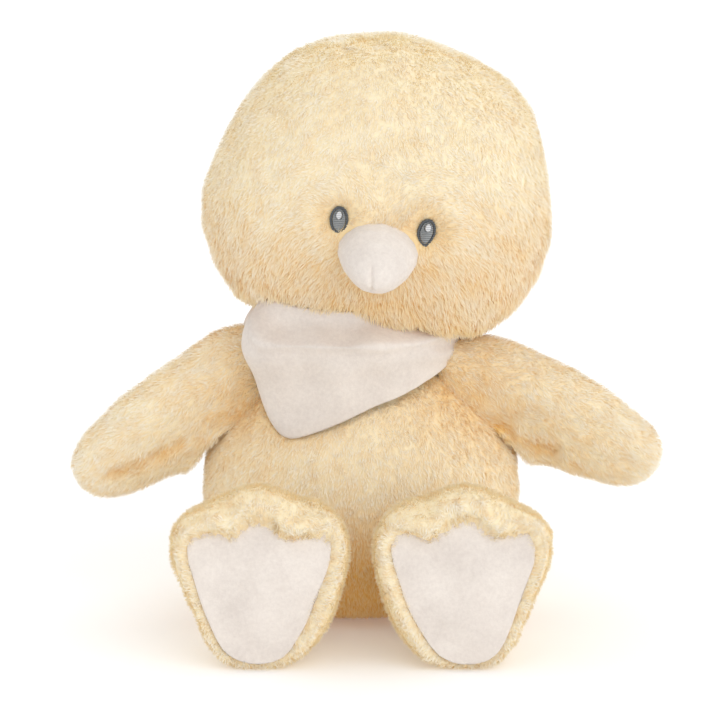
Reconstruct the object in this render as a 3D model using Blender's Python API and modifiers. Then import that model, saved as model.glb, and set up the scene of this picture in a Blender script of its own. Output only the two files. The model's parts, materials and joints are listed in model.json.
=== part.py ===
"""A seated plush duck with a velour beak, velour soles and a triangular neck scarf.

Metres, +Z up. The duck sits on the plane Z = 0 and faces -Y, so +X is on the
right of someone who looks at its face. "left" and "right" in the names are the
sides as that person sees them.

Every fur-fabric skin is a shell of its own round a separate filling. The head,
wings and legs turn on stuffed roots that sit in round pockets.
"""

import math

import bmesh
import bpy
from mathutils import Matrix, Vector

# Fabric and clearances
SKIN = 0.0040            # fur fabric with its pile, pressed
VELOUR = 0.0022          # beak and scarf cloth with its pile
GAP = 0.0003             # between pieces that touch
TURN_GAP = 0.0006        # between a root ball and its pockets
OVERRUN = 0.0500         # how far a cutter runs past what it cuts
FLOOR_CUT = 0.0005       # how deep the resting faces are flattened

# Where the body's own axis stands, seen from the middle of the duck's floor area
BODY_X = -0.0028
BODY_Y = 0.0216

# Body: an egg that narrows to the neck
BODY_HALF_WIDTH = 0.0800
BODY_FRONT = 0.0640
BODY_BACK = 0.0590
BODY_HEIGHT = 0.1340
BODY_PROFILE_SHARES = [  # from the seat up: share of the half width, share of the height
    (0.00, 0.000), (0.25, 0.001), (0.48, 0.003), (0.64, 0.014), (0.76, 0.045), (0.87, 0.108),
    (0.96, 0.220), (1.00, 0.375), (0.985, 0.510), (0.93, 0.634), (0.84, 0.746),
    (0.73, 0.836), (0.62, 0.896), (0.47, 0.950), (0.25, 0.990), (0.00, 1.000),
]
BODY_FULLNESS = 0.92

# Neck
NECK_RISE = 0.0010       # the neck's centre, over the top of the body
NECK_HEIGHT = BODY_HEIGHT + NECK_RISE
NECK_RADIUS = 0.0200
NECK_SLEEVE = 0.0027     # gathered fabric round the neck's filling
NECK_SLEEVE_REACH = 0.0120   # how far the sleeve runs up and down the neck

# Head, upright over the neck
HEAD_HALF_WIDTH = 0.0870
HEAD_HALF_HEIGHT = 0.0735
HEAD_FRONT = 0.0640
HEAD_BACK = 0.0610
HEAD_CLEAR = 0.0070      # from the neck's centre up to the head's underside
HEAD_LIFT = HEAD_HALF_HEIGHT + HEAD_CLEAR   # up to the middle of the head
HEAD_SIDE = -0.0020
HEAD_TILT = math.radians(8.4)
HEAD_FULLNESS = 0.86
HEAD_OUTLINE_SHARES = [  # seen from the front: shares of the half width and half height
    (0.03, 1.00), (0.34, 0.93), (0.61, 0.81), (0.76, 0.68), (0.90, 0.33),
    (0.99, -0.07), (1.00, -0.33), (0.91, -0.63), (0.78, -0.85), (0.54, -0.97),
    (0.02, -1.00), (-0.44, -0.99), (-0.63, -0.95), (-0.77, -0.87), (-0.88, -0.68),
    (-0.98, -0.44), (-1.00, -0.24), (-0.95, 0.04), (-0.84, 0.40), (-0.67, 0.69),
    (-0.50, 0.86), (-0.18, 0.97),
]

# Beak
BEAK_HALF_WIDTH = 0.0200
BEAK_HALF_HEIGHT = 0.0162
BEAK_LENGTH = 0.0300
BEAK_DROP = 0.0045       # how far the tip hangs below the middle of the base
BEAK_SIDE = 0.0000
BEAK_BELOW = 0.0253      # under the middle of the head
BEAK_LIFT = HEAD_LIFT - BEAK_BELOW
BEAK_SEAT = 0.0120       # how far the cone starts inside the face
BEAK_FULLNESS = 0.90
BEAK_OUTLINE_SHARES = [
    (0.00, 1.00), (0.52, 0.86), (0.90, 0.42), (1.00, -0.06), (0.82, -0.55),
    (0.42, -0.94), (0.00, -1.03), (-0.42, -0.94), (-0.82, -0.55), (-1.00, -0.06),
    (-0.90, 0.42), (-0.52, 0.86),
]

# Embroidered eyes
EYE_HALF_WIDTH = 0.0045
EYE_HALF_HEIGHT = 0.0066
EYE_OFF_BEAK = 0.0012    # from the beak's side out to the middle of each eye
EYE_SPREAD = BEAK_HALF_WIDTH + EYE_OFF_BEAK
EYE_SIDE = 0.0005
EYE_BELOW = 0.0131       # under the middle of the head
EYE_LIFT = HEAD_LIFT - EYE_BELOW
EYE_OUTLINE = 0.0011
EYE_THREAD = 0.0014      # how far the stitching stands up
EYE_DEPTH = 0.0030       # how deep the stitching lies in the pile
EYE_ROOM = 0.0012        # pressed pile round the stitching
EYE_SLOPE = math.radians(4.0)
HIGHLIGHT_HALF_WIDTH = 0.0014
HIGHLIGHT_HALF_HEIGHT = 0.0019
HIGHLIGHT_RISE = 0.0025
HIGHLIGHT_THREAD = 0.0007

# Wings
WING_LENGTH = 0.1040
WING_HALF_WIDTH = 0.0272
WING_HALF_THICKNESS = 0.0180
SHOULDER_DEPTH = 0.0295  # from the body's side in to the shoulder's centre
SHOULDER_DROP = {"left": 0.0115, "right": 0.0155}   # under the top of the body
WING_PIVOT_X = BODY_HALF_WIDTH - SHOULDER_DEPTH
WING_PIVOT_Y = -0.0080
WING_PIVOT_Z = {word: BODY_HEIGHT - drop for word, drop in SHOULDER_DROP.items()}
WING_ROOT_RADIUS = 0.0120
WING_DROOP = {"left": math.radians(32.5), "right": math.radians(25.0)}
WING_ROLL = math.radians(34.0)
WING_FORWARD = math.radians(5.0)
WING_FULLNESS = 0.95
WING_PROFILE_SHARES = [  # from the shoulder out: share of the half width, share of the length
    (0.00, -0.120), (0.45, -0.100), (0.72, -0.030), (0.88, 0.080), (0.96, 0.220),
    (1.00, 0.430), (0.985, 0.620), (0.90, 0.790), (0.72, 0.930), (0.42, 1.010),
    (0.00, 1.040),
]

# Legs and feet
HIP_DEPTH = 0.0430       # from the body's side in to the hip's centre
HIP_INSET = 0.0180       # from the belly back to the hip's centre
HIP_X = BODY_HALF_WIDTH - HIP_DEPTH
HIP_Y = HIP_INSET - BODY_FRONT
HIP_Z = 0.0300
HIP_ROOT_RADIUS = 0.0160
LEG_HALF_WIDTH = 0.0265
LEG_HALF_HEIGHT = 0.0270
LEG_LENGTH = 0.0720
LEG_PROFILE_SHARES = [   # from the hip forward: share of the half width, share of the length
    (0.00, -0.150), (0.60, -0.120), (0.84, 0.000), (0.95, 0.200), (1.00, 0.400),
    (1.00, 0.600), (0.92, 0.850), (0.00, 1.000),
]
LEG_FULLNESS = 0.95
FOOT_HALF_WIDTH = 0.0425
FOOT_HALF_HEIGHT = 0.0432
FOOT_SPREAD = 0.0105     # from the hip's centre out to the middle of the foot
FOOT_X = HIP_X + FOOT_SPREAD
FOOT_FRONT = 0.0160
FOOT_BACK = 0.0230
FOOT_REACH = 0.0760      # from the hip's centre to the front of the foot
FOOT_SOLE_Y = HIP_Y - FOOT_REACH
FOOT_LEAN = math.radians(5.0)
FOOT_FULLNESS = 0.62
FOOT_OUTLINE_SHARES = [  # right foot from the front, +X away from the other foot
    (0.08, 1.00), (0.36, 0.90), (0.62, 0.78), (0.86, 0.66), (1.00, 0.42), (0.98, 0.14),
    (0.84, -0.16), (0.70, -0.48), (0.52, -0.84), (0.28, -0.99), (-0.08, -1.00),
    (-0.42, -0.93), (-0.72, -0.64), (-0.88, -0.30), (-0.98, 0.08), (-1.00, 0.36),
    (-0.90, 0.62), (-0.68, 0.80), (-0.42, 0.85), (-0.18, 0.95),
]
SOLE_SIDE_RIM = 0.0085   # fur beside the sole
SOLE_TOP_RIM = 0.0077
SOLE_HALF_WIDTH = FOOT_HALF_WIDTH - SOLE_SIDE_RIM
SOLE_HALF_HEIGHT = FOOT_HALF_HEIGHT - SOLE_TOP_RIM
SOLE_RISE = -0.0050      # the middle of the sole, over the middle of the foot
SOLE_DOME = 0.0025
SOLE_DEPTH = 0.0060      # how deep the sole's seam lies behind the foot's front
SOLE_OUTLINE_SHARES = [  # right sole from the front: three toe lobes over a narrow heel
    (0.00, 1.00), (0.20, 0.96), (0.42, 0.76), (0.62, 0.78), (0.86, 0.78), (1.00, 0.52),
    (0.90, 0.12), (0.72, -0.34), (0.52, -0.80), (0.24, -0.98), (-0.08, -1.00),
    (-0.38, -0.84), (-0.66, -0.42), (-0.86, 0.06), (-0.99, 0.48), (-0.94, 0.74),
    (-0.74, 0.80), (-0.50, 0.72), (-0.34, 0.78), (-0.18, 0.95),
]

# Tail
TAIL_HALF_WIDTH = 0.0170
TAIL_HALF_THICKNESS = 0.0110
TAIL_LENGTH = 0.0360
TAIL_HEIGHT = 0.0420
TAIL_SEAT = 0.0110       # how far the tail starts inside the back
TAIL_RISE = math.radians(32.0)
TAIL_PROFILE_SHARES = [
    (0.00, 0.000), (0.80, 0.020), (1.00, 0.220), (0.88, 0.500), (0.60, 0.760),
    (0.30, 0.940), (0.00, 1.000),
]

# Pellet pouch in the seat
POUCH_SIDE_ROOM = 0.0460     # from the body's side in to the pouch
POUCH_FRONT_ROOM = 0.0380
POUCH_HALF_WIDTH = BODY_HALF_WIDTH - POUCH_SIDE_ROOM
POUCH_HALF_DEPTH = BODY_FRONT - POUCH_FRONT_ROOM
POUCH_HEIGHT = 0.0180

# Neck scarf: a folded triangle of velour, sewn shut behind the neck
SCARF_INSIDE = 0.0240    # how much nearer the neck's axis the cloth is than the body's side
SCARF_REACH = BODY_HALF_WIDTH - SCARF_INSIDE
SCARF_CLEAR = 0.0008     # air between the cloth's inner side and the body
SCARF_ROLL = 0.0030      # how far the roll along the top stands out
SCARF_STATION_SHARES = [ # degrees from the front; shares of the reach and of the neck's height
    (-180, 0.70, 0.985, 0.900), (-150, 0.70, 0.995, 0.920), (-120, 0.71, 1.015, 0.965),
    (-98, 0.73, 1.030, 0.995), (-80, 0.76, 1.040, 1.005), (-67, 0.82, 1.050, 1.000),
    (-56, 1.02, 1.075, 0.880), (-47, 1.09, 1.100, 0.763), (-37, 1.03, 1.105, 0.707),
    (-28, 0.98, 1.110, 0.715), (-12, 0.93, 1.110, 0.763), (4, 0.89, 1.100, 0.815),
    (20, 0.87, 1.080, 0.852), (36, 0.86, 1.045, 0.889), (50, 0.84, 1.005, 0.919),
    (64, 0.79, 0.993, 0.945), (80, 0.72, 0.990, 0.960), (97, 0.69, 0.983, 0.948),
    (120, 0.68, 0.975, 0.905), (150, 0.69, 0.980, 0.890),
]

# How far the limbs move, used to cut the room that they need beside the body
WING_SWEEP = (math.radians(-12.0), math.radians(10.0))   # back, forward
WING_FLAP = (math.radians(-6.0), math.radians(20.0))     # down, up
LEG_SPLAY = (math.radians(-3.0), math.radians(18.0))     # in, out
LEG_SWING = (math.radians(-30.0), math.radians(16.0))    # down, up
ROOM_SPARE = 0.0018      # a limb's clearance from the body at the ends of its range
SHOULDER_PROFILE_SHARES = [  # the body with the scarf's band, as the wings meet them
    (0.00, 0.000), (0.25, 0.001), (0.48, 0.003), (0.64, 0.014), (0.76, 0.045), (0.87, 0.108),
    (0.96, 0.220), (1.00, 0.375), (0.985, 0.510), (0.93, 0.634), (0.84, 0.746),
    (0.73, 0.836), (0.66, 0.910), (0.64, 1.000), (0.61, 1.120), (0.00, 1.160),
]

# Colours: name, red, green, blue, roughness
FUR = ("butter_fur", 0.86, 0.70, 0.42, 0.95)
FUR_UNDER = ("butter_fur_under", 0.84, 0.67, 0.39, 0.95)
CREAM = ("cream_velour", 0.82, 0.74, 0.66, 0.90)
FILLING = ("white_fibre", 0.90, 0.90, 0.88, 1.00)
POUCH_CLOTH = ("pouch_cloth", 0.80, 0.80, 0.76, 0.90)
EYE_DARK = ("dark_grey_thread", 0.060, 0.065, 0.062, 0.55)
EYE_MID = ("grey_thread", 0.20, 0.21, 0.20, 0.45)
EYE_LIGHT = ("silver_thread", 0.48, 0.49, 0.48, 0.40)

# Mesh counts: segments round a form, and rings from pole to pole
OUTER_MESH = (28, 16)
INNER_MESH = (20, 12)
ROOM_MESH = (20, 12)
WING_MESH = (16, 14)
WING_INNER_MESH = (12, 10)
FOOT_MESH = (28, 12)
LEG_MESH = (16, 10)
LEG_INNER_MESH = (12, 8)
FOOT_INNER_MESH = (16, 8)
BEAK_MESH = (18, 12)
BEAK_INNER_MESH = (12, 8)
TAIL_MESH = (14, 10)
BALL_MESH = (16, 10)
NECK_MESH = (20, 12)
POUCH_MESH = (16, 8)
OVAL_STEPS = 16
SHINE_STEPS = 8
SOLE_STEPS = 36
SCARF_ROWS = 6
SCARF_SPLITS = 2
SMOOTH_STEPS = 6         # points between two outline points
TURN_STEPS = 360
ROUND_POINTS = 8
SHARP_EDGE = math.radians(40.0)


def clear_scene():
    for item in list(bpy.data.objects):
        bpy.data.objects.remove(item, do_unlink=True)


def collection(name):
    group = bpy.data.collections.new(name)
    bpy.context.scene.collection.children.link(group)
    return group


def material(spec):
    name, red, green, blue, rough = spec
    found = bpy.data.materials.get(name)
    if found:
        return found
    made = bpy.data.materials.new(name)
    made.use_nodes = True
    shader = made.node_tree.nodes["Principled BSDF"]
    shader.inputs["Base Color"].default_value = (red, green, blue, 1)
    shader.inputs["Roughness"].default_value = rough
    shader.inputs["Metallic"].default_value = 0
    made.diffuse_color = (red, green, blue, 1)
    return made


def spline_point(before, start, end, after, part):
    """A point of the smooth curve from start to end."""
    a = (before * -1 + start * 3 - end * 3 + after) * part**3
    b = (before * 2 - start * 5 + end * 4 - after) * part**2
    c = (end - before) * part
    return (a + b + c) / 2 + start


def smooth_path(points, closed):
    """Points on a smooth curve through the given ones."""
    knots = [Vector(p) for p in points]
    count = len(knots)
    path = []
    for i in range(count if closed else count - 1):
        if closed:
            before, after = knots[i - 1], knots[(i + 2) % count]
        else:
            before, after = knots[max(i - 1, 0)], knots[min(i + 2, count - 1)]
        start, end = knots[i], knots[(i + 1) % count]
        path += [
            spline_point(before, start, end, after, step / SMOOTH_STEPS)
            for step in range(SMOOTH_STEPS)
        ]
    if not closed:
        path.append(knots[-1])
    return path


def reach_by_angle(outline):
    """How far a closed outline lies from its middle, for each degree."""
    path = smooth_path(outline, closed=True)
    turn = sorted((math.atan2(p.y, p.x), p.length) for p in path)
    turn = [(turn[-1][0] - math.tau, turn[-1][1])] + turn + [(turn[0][0] + math.tau, turn[0][1])]
    reach = []
    spot = 0
    for step in range(TURN_STEPS + 1):
        angle = -math.pi + math.tau * step / TURN_STEPS
        while turn[spot + 1][0] < angle:
            spot += 1
        (low, near), (high, far) = turn[spot], turn[spot + 1]
        part = (angle - low) / (high - low) if high > low else 0
        reach.append(near + (far - near) * part)
    return reach


def along_path(path, part):
    """The point at a share of the path's whole length."""
    sides = [(b - a).length for a, b in zip(path, path[1:])]
    left = part * sum(sides)
    for start, end, side in zip(path, path[1:], sides):
        if left <= side:
            return start.lerp(end, left / side if side else 0)
        left -= side
    return path[-1]


def eased(value, power):
    return math.copysign(abs(value) ** power, value)


def pillow(outline, half_width, half_height, front, back, fullness, mesh):
    """Two panels sewn together round an outline in X and Z, and stuffed. It faces -Y."""
    reach = reach_by_angle(outline)
    form = bmesh.new()
    bmesh.ops.create_uvsphere(form, u_segments=mesh[0], v_segments=mesh[1], radius=1)
    for vert in form.verts:
        angle = math.atan2(vert.co.y, vert.co.x)
        edge = reach[round((angle + math.pi) / math.tau * TURN_STEPS)]
        away = math.hypot(vert.co.x, vert.co.y) ** fullness * edge
        ahead = eased(vert.co.z, fullness)
        vert.co = (
            half_width * away * math.cos(angle),
            -ahead * (front if ahead > 0 else back),
            half_height * away * math.sin(angle),
        )
    bmesh.ops.recalc_face_normals(form, faces=form.faces)
    return form


def swelling(profile, half_width, front, back, length, fullness, mesh):
    """A stuffed form that swells and tapers along +Z, with its own depth each way in Y."""
    path = smooth_path([(share, along, 0) for share, along in profile], closed=False)
    form = bmesh.new()
    bmesh.ops.create_uvsphere(form, u_segments=mesh[0], v_segments=mesh[1], radius=1)
    for vert in form.verts:
        angle = math.atan2(vert.co.y, vert.co.x)
        part = 1 - math.acos(max(-1, min(1, vert.co.z))) / math.pi
        spot = along_path(path, part)
        side, ahead = eased(math.cos(angle), fullness), eased(math.sin(angle), fullness)
        vert.co = (
            half_width * spot.x * side,
            spot.x * ahead * (back if ahead > 0 else front),
            length * spot.y,
        )
    bmesh.ops.recalc_face_normals(form, faces=form.faces)
    return form


def ball(radius, mesh):
    form = bmesh.new()
    bmesh.ops.create_uvsphere(form, u_segments=mesh[0], v_segments=mesh[1], radius=radius)
    return form


def block(low, high):
    form = bmesh.new()
    bmesh.ops.create_cube(form, size=1)
    for vert in form.verts:
        vert.co = [
            low[i] if vert.co[i] < 0 else high[i]
            for i in range(3)
        ]
    return form


def plate(outline, half_width, half_height, thickness, dome, segments):
    """A flat piece of an outline in X and Z, from Y = 0 forward, with a domed front."""
    reach = reach_by_angle(outline)
    form = bmesh.new()
    bmesh.ops.create_cone(
        form, cap_ends=True, cap_tris=True, segments=segments, radius1=1, radius2=1, depth=1
    )
    for vert in form.verts:
        away = math.hypot(vert.co.x, vert.co.y)
        angle = math.atan2(vert.co.y, vert.co.x)
        edge = reach[round((angle + math.pi) / math.tau * TURN_STEPS)] * away
        ahead = thickness + dome * (1 - away) if vert.co.z > 0 else 0
        vert.co = (
            half_width * edge * math.cos(angle),
            -ahead,
            half_height * edge * math.sin(angle),
        )
    bmesh.ops.recalc_face_normals(form, faces=form.faces)
    return form


def place(name, form, group, parent=None, matrix=None):
    """Make an object of a form. The matrix is applied to its points."""
    if matrix is not None:
        bmesh.ops.transform(form, matrix=matrix, verts=form.verts)
    if matrix is not None and matrix.determinant() < 0:
        bmesh.ops.recalc_face_normals(form, faces=form.faces)
    mesh = bpy.data.meshes.new(name)
    form.to_mesh(mesh)
    form.free()
    mesh.shade_smooth()
    mesh.set_sharp_from_angle(angle=SHARP_EDGE)
    made = bpy.data.objects.new(name, mesh)
    group.objects.link(made)
    made.parent = parent
    return made


def guide(name, form, parent=None, matrix=None):
    """A cutter: it shapes other pieces and isn't one itself."""
    made = place(name, form, CUTTERS, parent, matrix)
    made.hide_render = True
    made.display_type = "WIRE"
    return made


def piece(name, form, finish, parent, matrix=None):
    made = place(name, form, DUCK, parent, matrix)
    made.data.materials.append(material(finish))
    return made


def boolean(item, cutter, operation, solver="EXACT"):
    step = item.modifiers.new(cutter.name, "BOOLEAN")
    step.operation = operation
    step.solver = solver
    step.object = cutter


def cut(item, *cutters):
    for cutter in cutters:
        boolean(item, cutter, "DIFFERENCE")


def clear(item, cutters):
    """Cut with forms that almost coincide, which the exact solver can't tell apart."""
    for cutter in cutters:
        boolean(item, cutter, "DIFFERENCE", "MANIFOLD")


def join(item, *others):
    for other in others:
        boolean(item, other, "UNION")


def pivot(name, location, parent, rotation=None):
    """An empty on a joint's axis. Its pieces hang from it."""
    made = bpy.data.objects.new(name, None)
    DUCK.objects.link(made)
    made.parent = parent
    made.matrix_local = Matrix.Translation(location) @ (rotation or Matrix()).to_4x4()
    return made


def turned(angle, axis):
    return Matrix.Rotation(angle, 4, axis)


def body_form(inset, mesh, profile=BODY_PROFILE_SHARES):
    """The body's outer form, or one that lies inside it by the inset."""
    form = swelling(
        profile,
        BODY_HALF_WIDTH - inset,
        BODY_FRONT - inset,
        BODY_BACK - inset,
        BODY_HEIGHT + FLOOR_CUT - inset - inset,
        BODY_FULLNESS,
        mesh,
    )
    bmesh.ops.translate(form, vec=(0, 0, inset - FLOOR_CUT), verts=form.verts)
    return form


def head_form(inset, mesh):
    form = pillow(
        HEAD_OUTLINE_SHARES,
        HEAD_HALF_WIDTH - inset,
        HEAD_HALF_HEIGHT - inset,
        HEAD_FRONT - inset,
        HEAD_BACK - inset,
        HEAD_FULLNESS,
        mesh,
    )
    bmesh.ops.translate(form, vec=(HEAD_SIDE, 0, HEAD_LIFT), verts=form.verts)
    return form


def face_depth(side, rise):
    """How far the face lies in front of the neck's axis at a place on it."""
    reach = reach_by_angle(HEAD_OUTLINE_SHARES)
    x = (side - HEAD_SIDE) / HEAD_HALF_WIDTH
    z = (rise - HEAD_LIFT) / HEAD_HALF_HEIGHT
    edge = reach[round((math.atan2(z, x) + math.pi) / math.tau * TURN_STEPS)]
    away = (math.hypot(x, z) / edge) ** (1 / HEAD_FULLNESS)
    return HEAD_FRONT * (1 - away * away) ** (HEAD_FULLNESS / 2)


def face_frame(side, rise, roll):
    """A place on the face, with -Y pointing straight out of it."""
    step = EYE_HALF_WIDTH
    spot = Vector((side, -face_depth(side, rise), rise))
    across = Vector((side + step, -face_depth(side + step, rise), rise)) - spot
    up = Vector((side, -face_depth(side, rise + step), rise + step)) - spot
    inward = up.cross(across).normalized()
    across = across.normalized()
    up = across.cross(inward).normalized()
    frame = Matrix((across, inward, up)).transposed().to_4x4()
    return Matrix.Translation(spot) @ frame @ turned(roll, "Y")


def make_neck(torso):
    """The sleeve turns in the body, the filling nods in the sleeve, the head tilts on it."""
    turn = pivot("neck_turn", (0, 0, NECK_HEIGHT), torso)
    nod = pivot("neck_nod", (0, 0, 0), turn)
    tilt = pivot("neck_tilt", (0, 0, 0), nod, turned(HEAD_TILT, "Y"))
    sleeve = piece("neck_sleeve", ball(NECK_RADIUS, NECK_MESH), FUR_UNDER, turn)
    hollow = guide("neck_hollow", ball(NECK_RADIUS - NECK_SLEEVE, NECK_MESH), turn)
    above = guide(
        "neck_above",
        block((-OVERRUN, -OVERRUN, NECK_SLEEVE_REACH), (OVERRUN, OVERRUN, OVERRUN)),
        turn,
    )
    below = guide(
        "neck_below",
        block((-OVERRUN, -OVERRUN, -OVERRUN), (OVERRUN, OVERRUN, -NECK_SLEEVE_REACH)),
        turn,
    )
    cut(sleeve, hollow, above, below)
    core = ball(NECK_RADIUS - NECK_SLEEVE - TURN_GAP, NECK_MESH)
    piece("neck_stuffing", core, FILLING, nod)
    socket = guide("neck_socket", ball(NECK_RADIUS + TURN_GAP, NECK_MESH), turn)
    return tilt, socket


def make_head(tilt, socket):
    shape = guide("head_lining", head_form(SKIN, INNER_MESH), tilt)
    seam = GAP / 2
    wide = HEAD_HALF_WIDTH + OVERRUN
    tall = HEAD_LIFT + HEAD_HALF_HEIGHT + OVERRUN
    behind = guide("head_behind_seam", block((-wide, -seam, -OVERRUN), (wide, wide, tall)), tilt)
    ahead = guide("head_ahead_of_seam", block((-wide, -wide, -OVERRUN), (wide, seam, tall)), tilt)
    front = piece("head_front_panel", head_form(0, OUTER_MESH), FUR, tilt)
    cut(front, shape, behind, socket)
    back = piece("head_back_panel", head_form(0, OUTER_MESH), FUR, tilt)
    cut(back, shape, ahead, socket)
    filling = piece("head_stuffing", head_form(SKIN + GAP, INNER_MESH), FILLING, tilt)
    cut(filling, socket)
    make_beak(tilt)
    for side in (-1, 1):
        make_eye(side, tilt, front)


def beak_form(inset, mesh):
    form = pillow(
        BEAK_OUTLINE_SHARES,
        BEAK_HALF_WIDTH - inset,
        BEAK_HALF_HEIGHT - inset,
        BEAK_LENGTH + BEAK_SEAT - inset,
        BEAK_SEAT,
        BEAK_FULLNESS,
        mesh,
    )
    for vert in form.verts:
        share = max(0, -vert.co.y / BEAK_LENGTH)
        vert.co.z -= BEAK_DROP * share * share
    return form


def make_beak(tilt):
    base = Vector((BEAK_SIDE, BEAK_SEAT - face_depth(BEAK_SIDE, BEAK_LIFT), BEAK_LIFT))
    spot = Matrix.Translation(base)
    seat = guide("beak_seat", head_form(-GAP, OUTER_MESH), tilt)
    hollow = guide("beak_hollow", beak_form(VELOUR, BEAK_INNER_MESH), tilt, spot)
    cover = piece("beak_cover", beak_form(0, BEAK_MESH), CREAM, tilt, spot)
    cut(cover, hollow, seat)
    filling = piece("beak_stuffing", beak_form(VELOUR + GAP, BEAK_INNER_MESH), FILLING, tilt, spot)
    cut(filling, seat)


ROUND_SHARES = [
    (math.cos(math.tau * step / ROUND_POINTS), math.sin(math.tau * step / ROUND_POINTS))
    for step in range(ROUND_POINTS)
]


def make_eye(side, tilt, panel):
    """Satin stitches in three greys, pulled down into the pile."""
    word = "left" if side < 0 else "right"
    spot = face_frame(EYE_SIDE + side * EYE_SPREAD, EYE_LIFT, side * EYE_SLOPE)
    floor = spot @ Matrix.Translation((0, EYE_DEPTH, 0))
    room = EYE_ROOM + GAP
    dimple = guide(
        word + "_eye_dimple",
        plate(ROUND_SHARES, EYE_HALF_WIDTH + room, EYE_HALF_HEIGHT + room, OVERRUN, 0, OVAL_STEPS),
        tilt,
        floor,
    )
    cut(panel, dimple)
    stitched = floor @ Matrix.Translation((0, -GAP, 0))
    inner_width = EYE_HALF_WIDTH - EYE_OUTLINE
    inner_height = EYE_HALF_HEIGHT - EYE_OUTLINE
    hole = guide(
        word + "_eye_hole",
        plate(ROUND_SHARES, inner_width, inner_height, OVERRUN, 0, OVAL_STEPS),
        tilt,
        floor,
    )
    ring = plate(ROUND_SHARES, EYE_HALF_WIDTH, EYE_HALF_HEIGHT, EYE_THREAD, 0, OVAL_STEPS)
    outline = piece(word + "_eye_outline", ring, EYE_DARK, tilt, stitched)
    cut(outline, hole)
    disc = plate(
        ROUND_SHARES, inner_width - GAP, inner_height - GAP, EYE_THREAD, EYE_OUTLINE, OVAL_STEPS
    )
    fill = piece(word + "_eye_fill", disc, EYE_MID, tilt, stitched)
    shine = plate(
        ROUND_SHARES,
        HIGHLIGHT_HALF_WIDTH,
        HIGHLIGHT_HALF_HEIGHT,
        EYE_THREAD + EYE_OUTLINE + HIGHLIGHT_THREAD,
        0,
        SHINE_STEPS,
    )
    lifted = stitched @ Matrix.Translation((0, 0, HIGHLIGHT_RISE))
    bed = guide(
        word + "_eye_highlight_bed",
        plate(
            ROUND_SHARES,
            HIGHLIGHT_HALF_WIDTH + GAP,
            HIGHLIGHT_HALF_HEIGHT + GAP,
            OVERRUN,
            0,
            SHINE_STEPS,
        ),
        tilt,
        lifted @ Matrix.Translation((0, EYE_THREAD, 0)),
    )
    cut(fill, bed)
    piece(word + "_eye_highlight", shine, EYE_LIGHT, tilt, lifted)


def wing_form(inset, mesh):
    """One wing along +Z from the shoulder, its width along X."""
    form = swelling(
        WING_PROFILE_SHARES,
        WING_HALF_WIDTH - inset,
        WING_HALF_THICKNESS - inset,
        WING_HALF_THICKNESS - inset,
        WING_LENGTH,
        WING_FULLNESS,
        mesh,
    )
    bmesh.ops.translate(form, vec=(0, 0, -inset), verts=form.verts)
    return form


def limb_room(name, growth, poses, parent, centre, profile):
    """The body, grown, as the limb meets it in each pose."""
    cutters = []
    for number, pose in enumerate(poses):
        form = body_form(-ROOM_SPARE - growth, ROOM_MESH, profile)
        bmesh.ops.translate(form, vec=-Vector(centre), verts=form.verts)
        made = guide(name + "_room_" + str(number + 1), form, parent, pose.inverted())
        cutters.append(made)
    return cutters


def make_wing(side, torso):
    word = "left" if side < 0 else "right"
    wing = word + "_wing"
    centre = (side * WING_PIVOT_X, WING_PIVOT_Y, WING_PIVOT_Z[word])
    sweep = pivot(wing + "_sweep", centre, torso)
    flap = pivot(wing + "_flap", (0, 0, 0), sweep)
    aim = (
        turned(-side * WING_FORWARD, "Z")
        @ turned(side * (math.pi / 2 + WING_DROOP[word]), "Y")
        @ turned(side * WING_ROLL, "Z")
    )
    poses = [
        turned(-side * forward, "Z") @ turned(-side * raised, "Y")
        for forward in WING_SWEEP
        for raised in WING_FLAP
    ]
    shape = SHOULDER_PROFILE_SHARES
    room = limb_room(wing, 0, poses, flap, centre, shape)
    inner_room = limb_room(wing + "_lining", SKIN, poses, flap, centre, shape)
    filling_room = limb_room(wing + "_filling", SKIN + GAP, poses, flap, centre, shape)
    pocket = guide(wing + "_pocket", ball(WING_ROOT_RADIUS + TURN_GAP, BALL_MESH), sweep)
    piece(wing + "_root", ball(WING_ROOT_RADIUS, BALL_MESH), FUR_UNDER, sweep)
    lining = guide(wing + "_lining", wing_form(SKIN, WING_INNER_MESH), flap, aim)
    clear(lining, inner_room)
    half = WING_HALF_WIDTH + OVERRUN
    span = WING_LENGTH + OVERRUN
    seam = GAP / 2
    upper_side = block((-half, -half, -span), (half, seam, span))
    under_side = block((-half, -seam, -span), (half, half, span))
    below_seam = guide(wing + "_below_seam", under_side, flap, aim)
    above_seam = guide(wing + "_above_seam", upper_side, flap, aim)
    upper = piece(wing + "_upper_panel", wing_form(0, WING_MESH), FUR, flap, aim)
    clear(upper, [lining, below_seam, pocket] + room)
    under = piece(wing + "_under_panel", wing_form(0, WING_MESH), FUR_UNDER, flap, aim)
    clear(under, [lining, above_seam, pocket] + room)
    filling = wing_form(SKIN + GAP, WING_INNER_MESH)
    filling = piece(wing + "_stuffing", filling, FILLING, flap, aim)
    clear(filling, [pocket] + filling_room)
    return pocket


def mirrored(shares, side):
    return [(side * x, z) for x, z in shares]


def leg_form(inset, mesh):
    form = swelling(
        LEG_PROFILE_SHARES,
        LEG_HALF_WIDTH - inset,
        LEG_HALF_HEIGHT - inset,
        LEG_HALF_HEIGHT - inset,
        LEG_LENGTH,
        LEG_FULLNESS,
        mesh,
    )
    bmesh.ops.translate(form, vec=(0, 0, -inset), verts=form.verts)
    return form


def foot_form(side, inset, mesh):
    form = pillow(
        mirrored(FOOT_OUTLINE_SHARES, side),
        FOOT_HALF_WIDTH - inset,
        FOOT_HALF_HEIGHT + FLOOR_CUT - inset,
        FOOT_FRONT - inset,
        FOOT_BACK - inset,
        FOOT_FULLNESS,
        mesh,
    )
    return form


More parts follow.
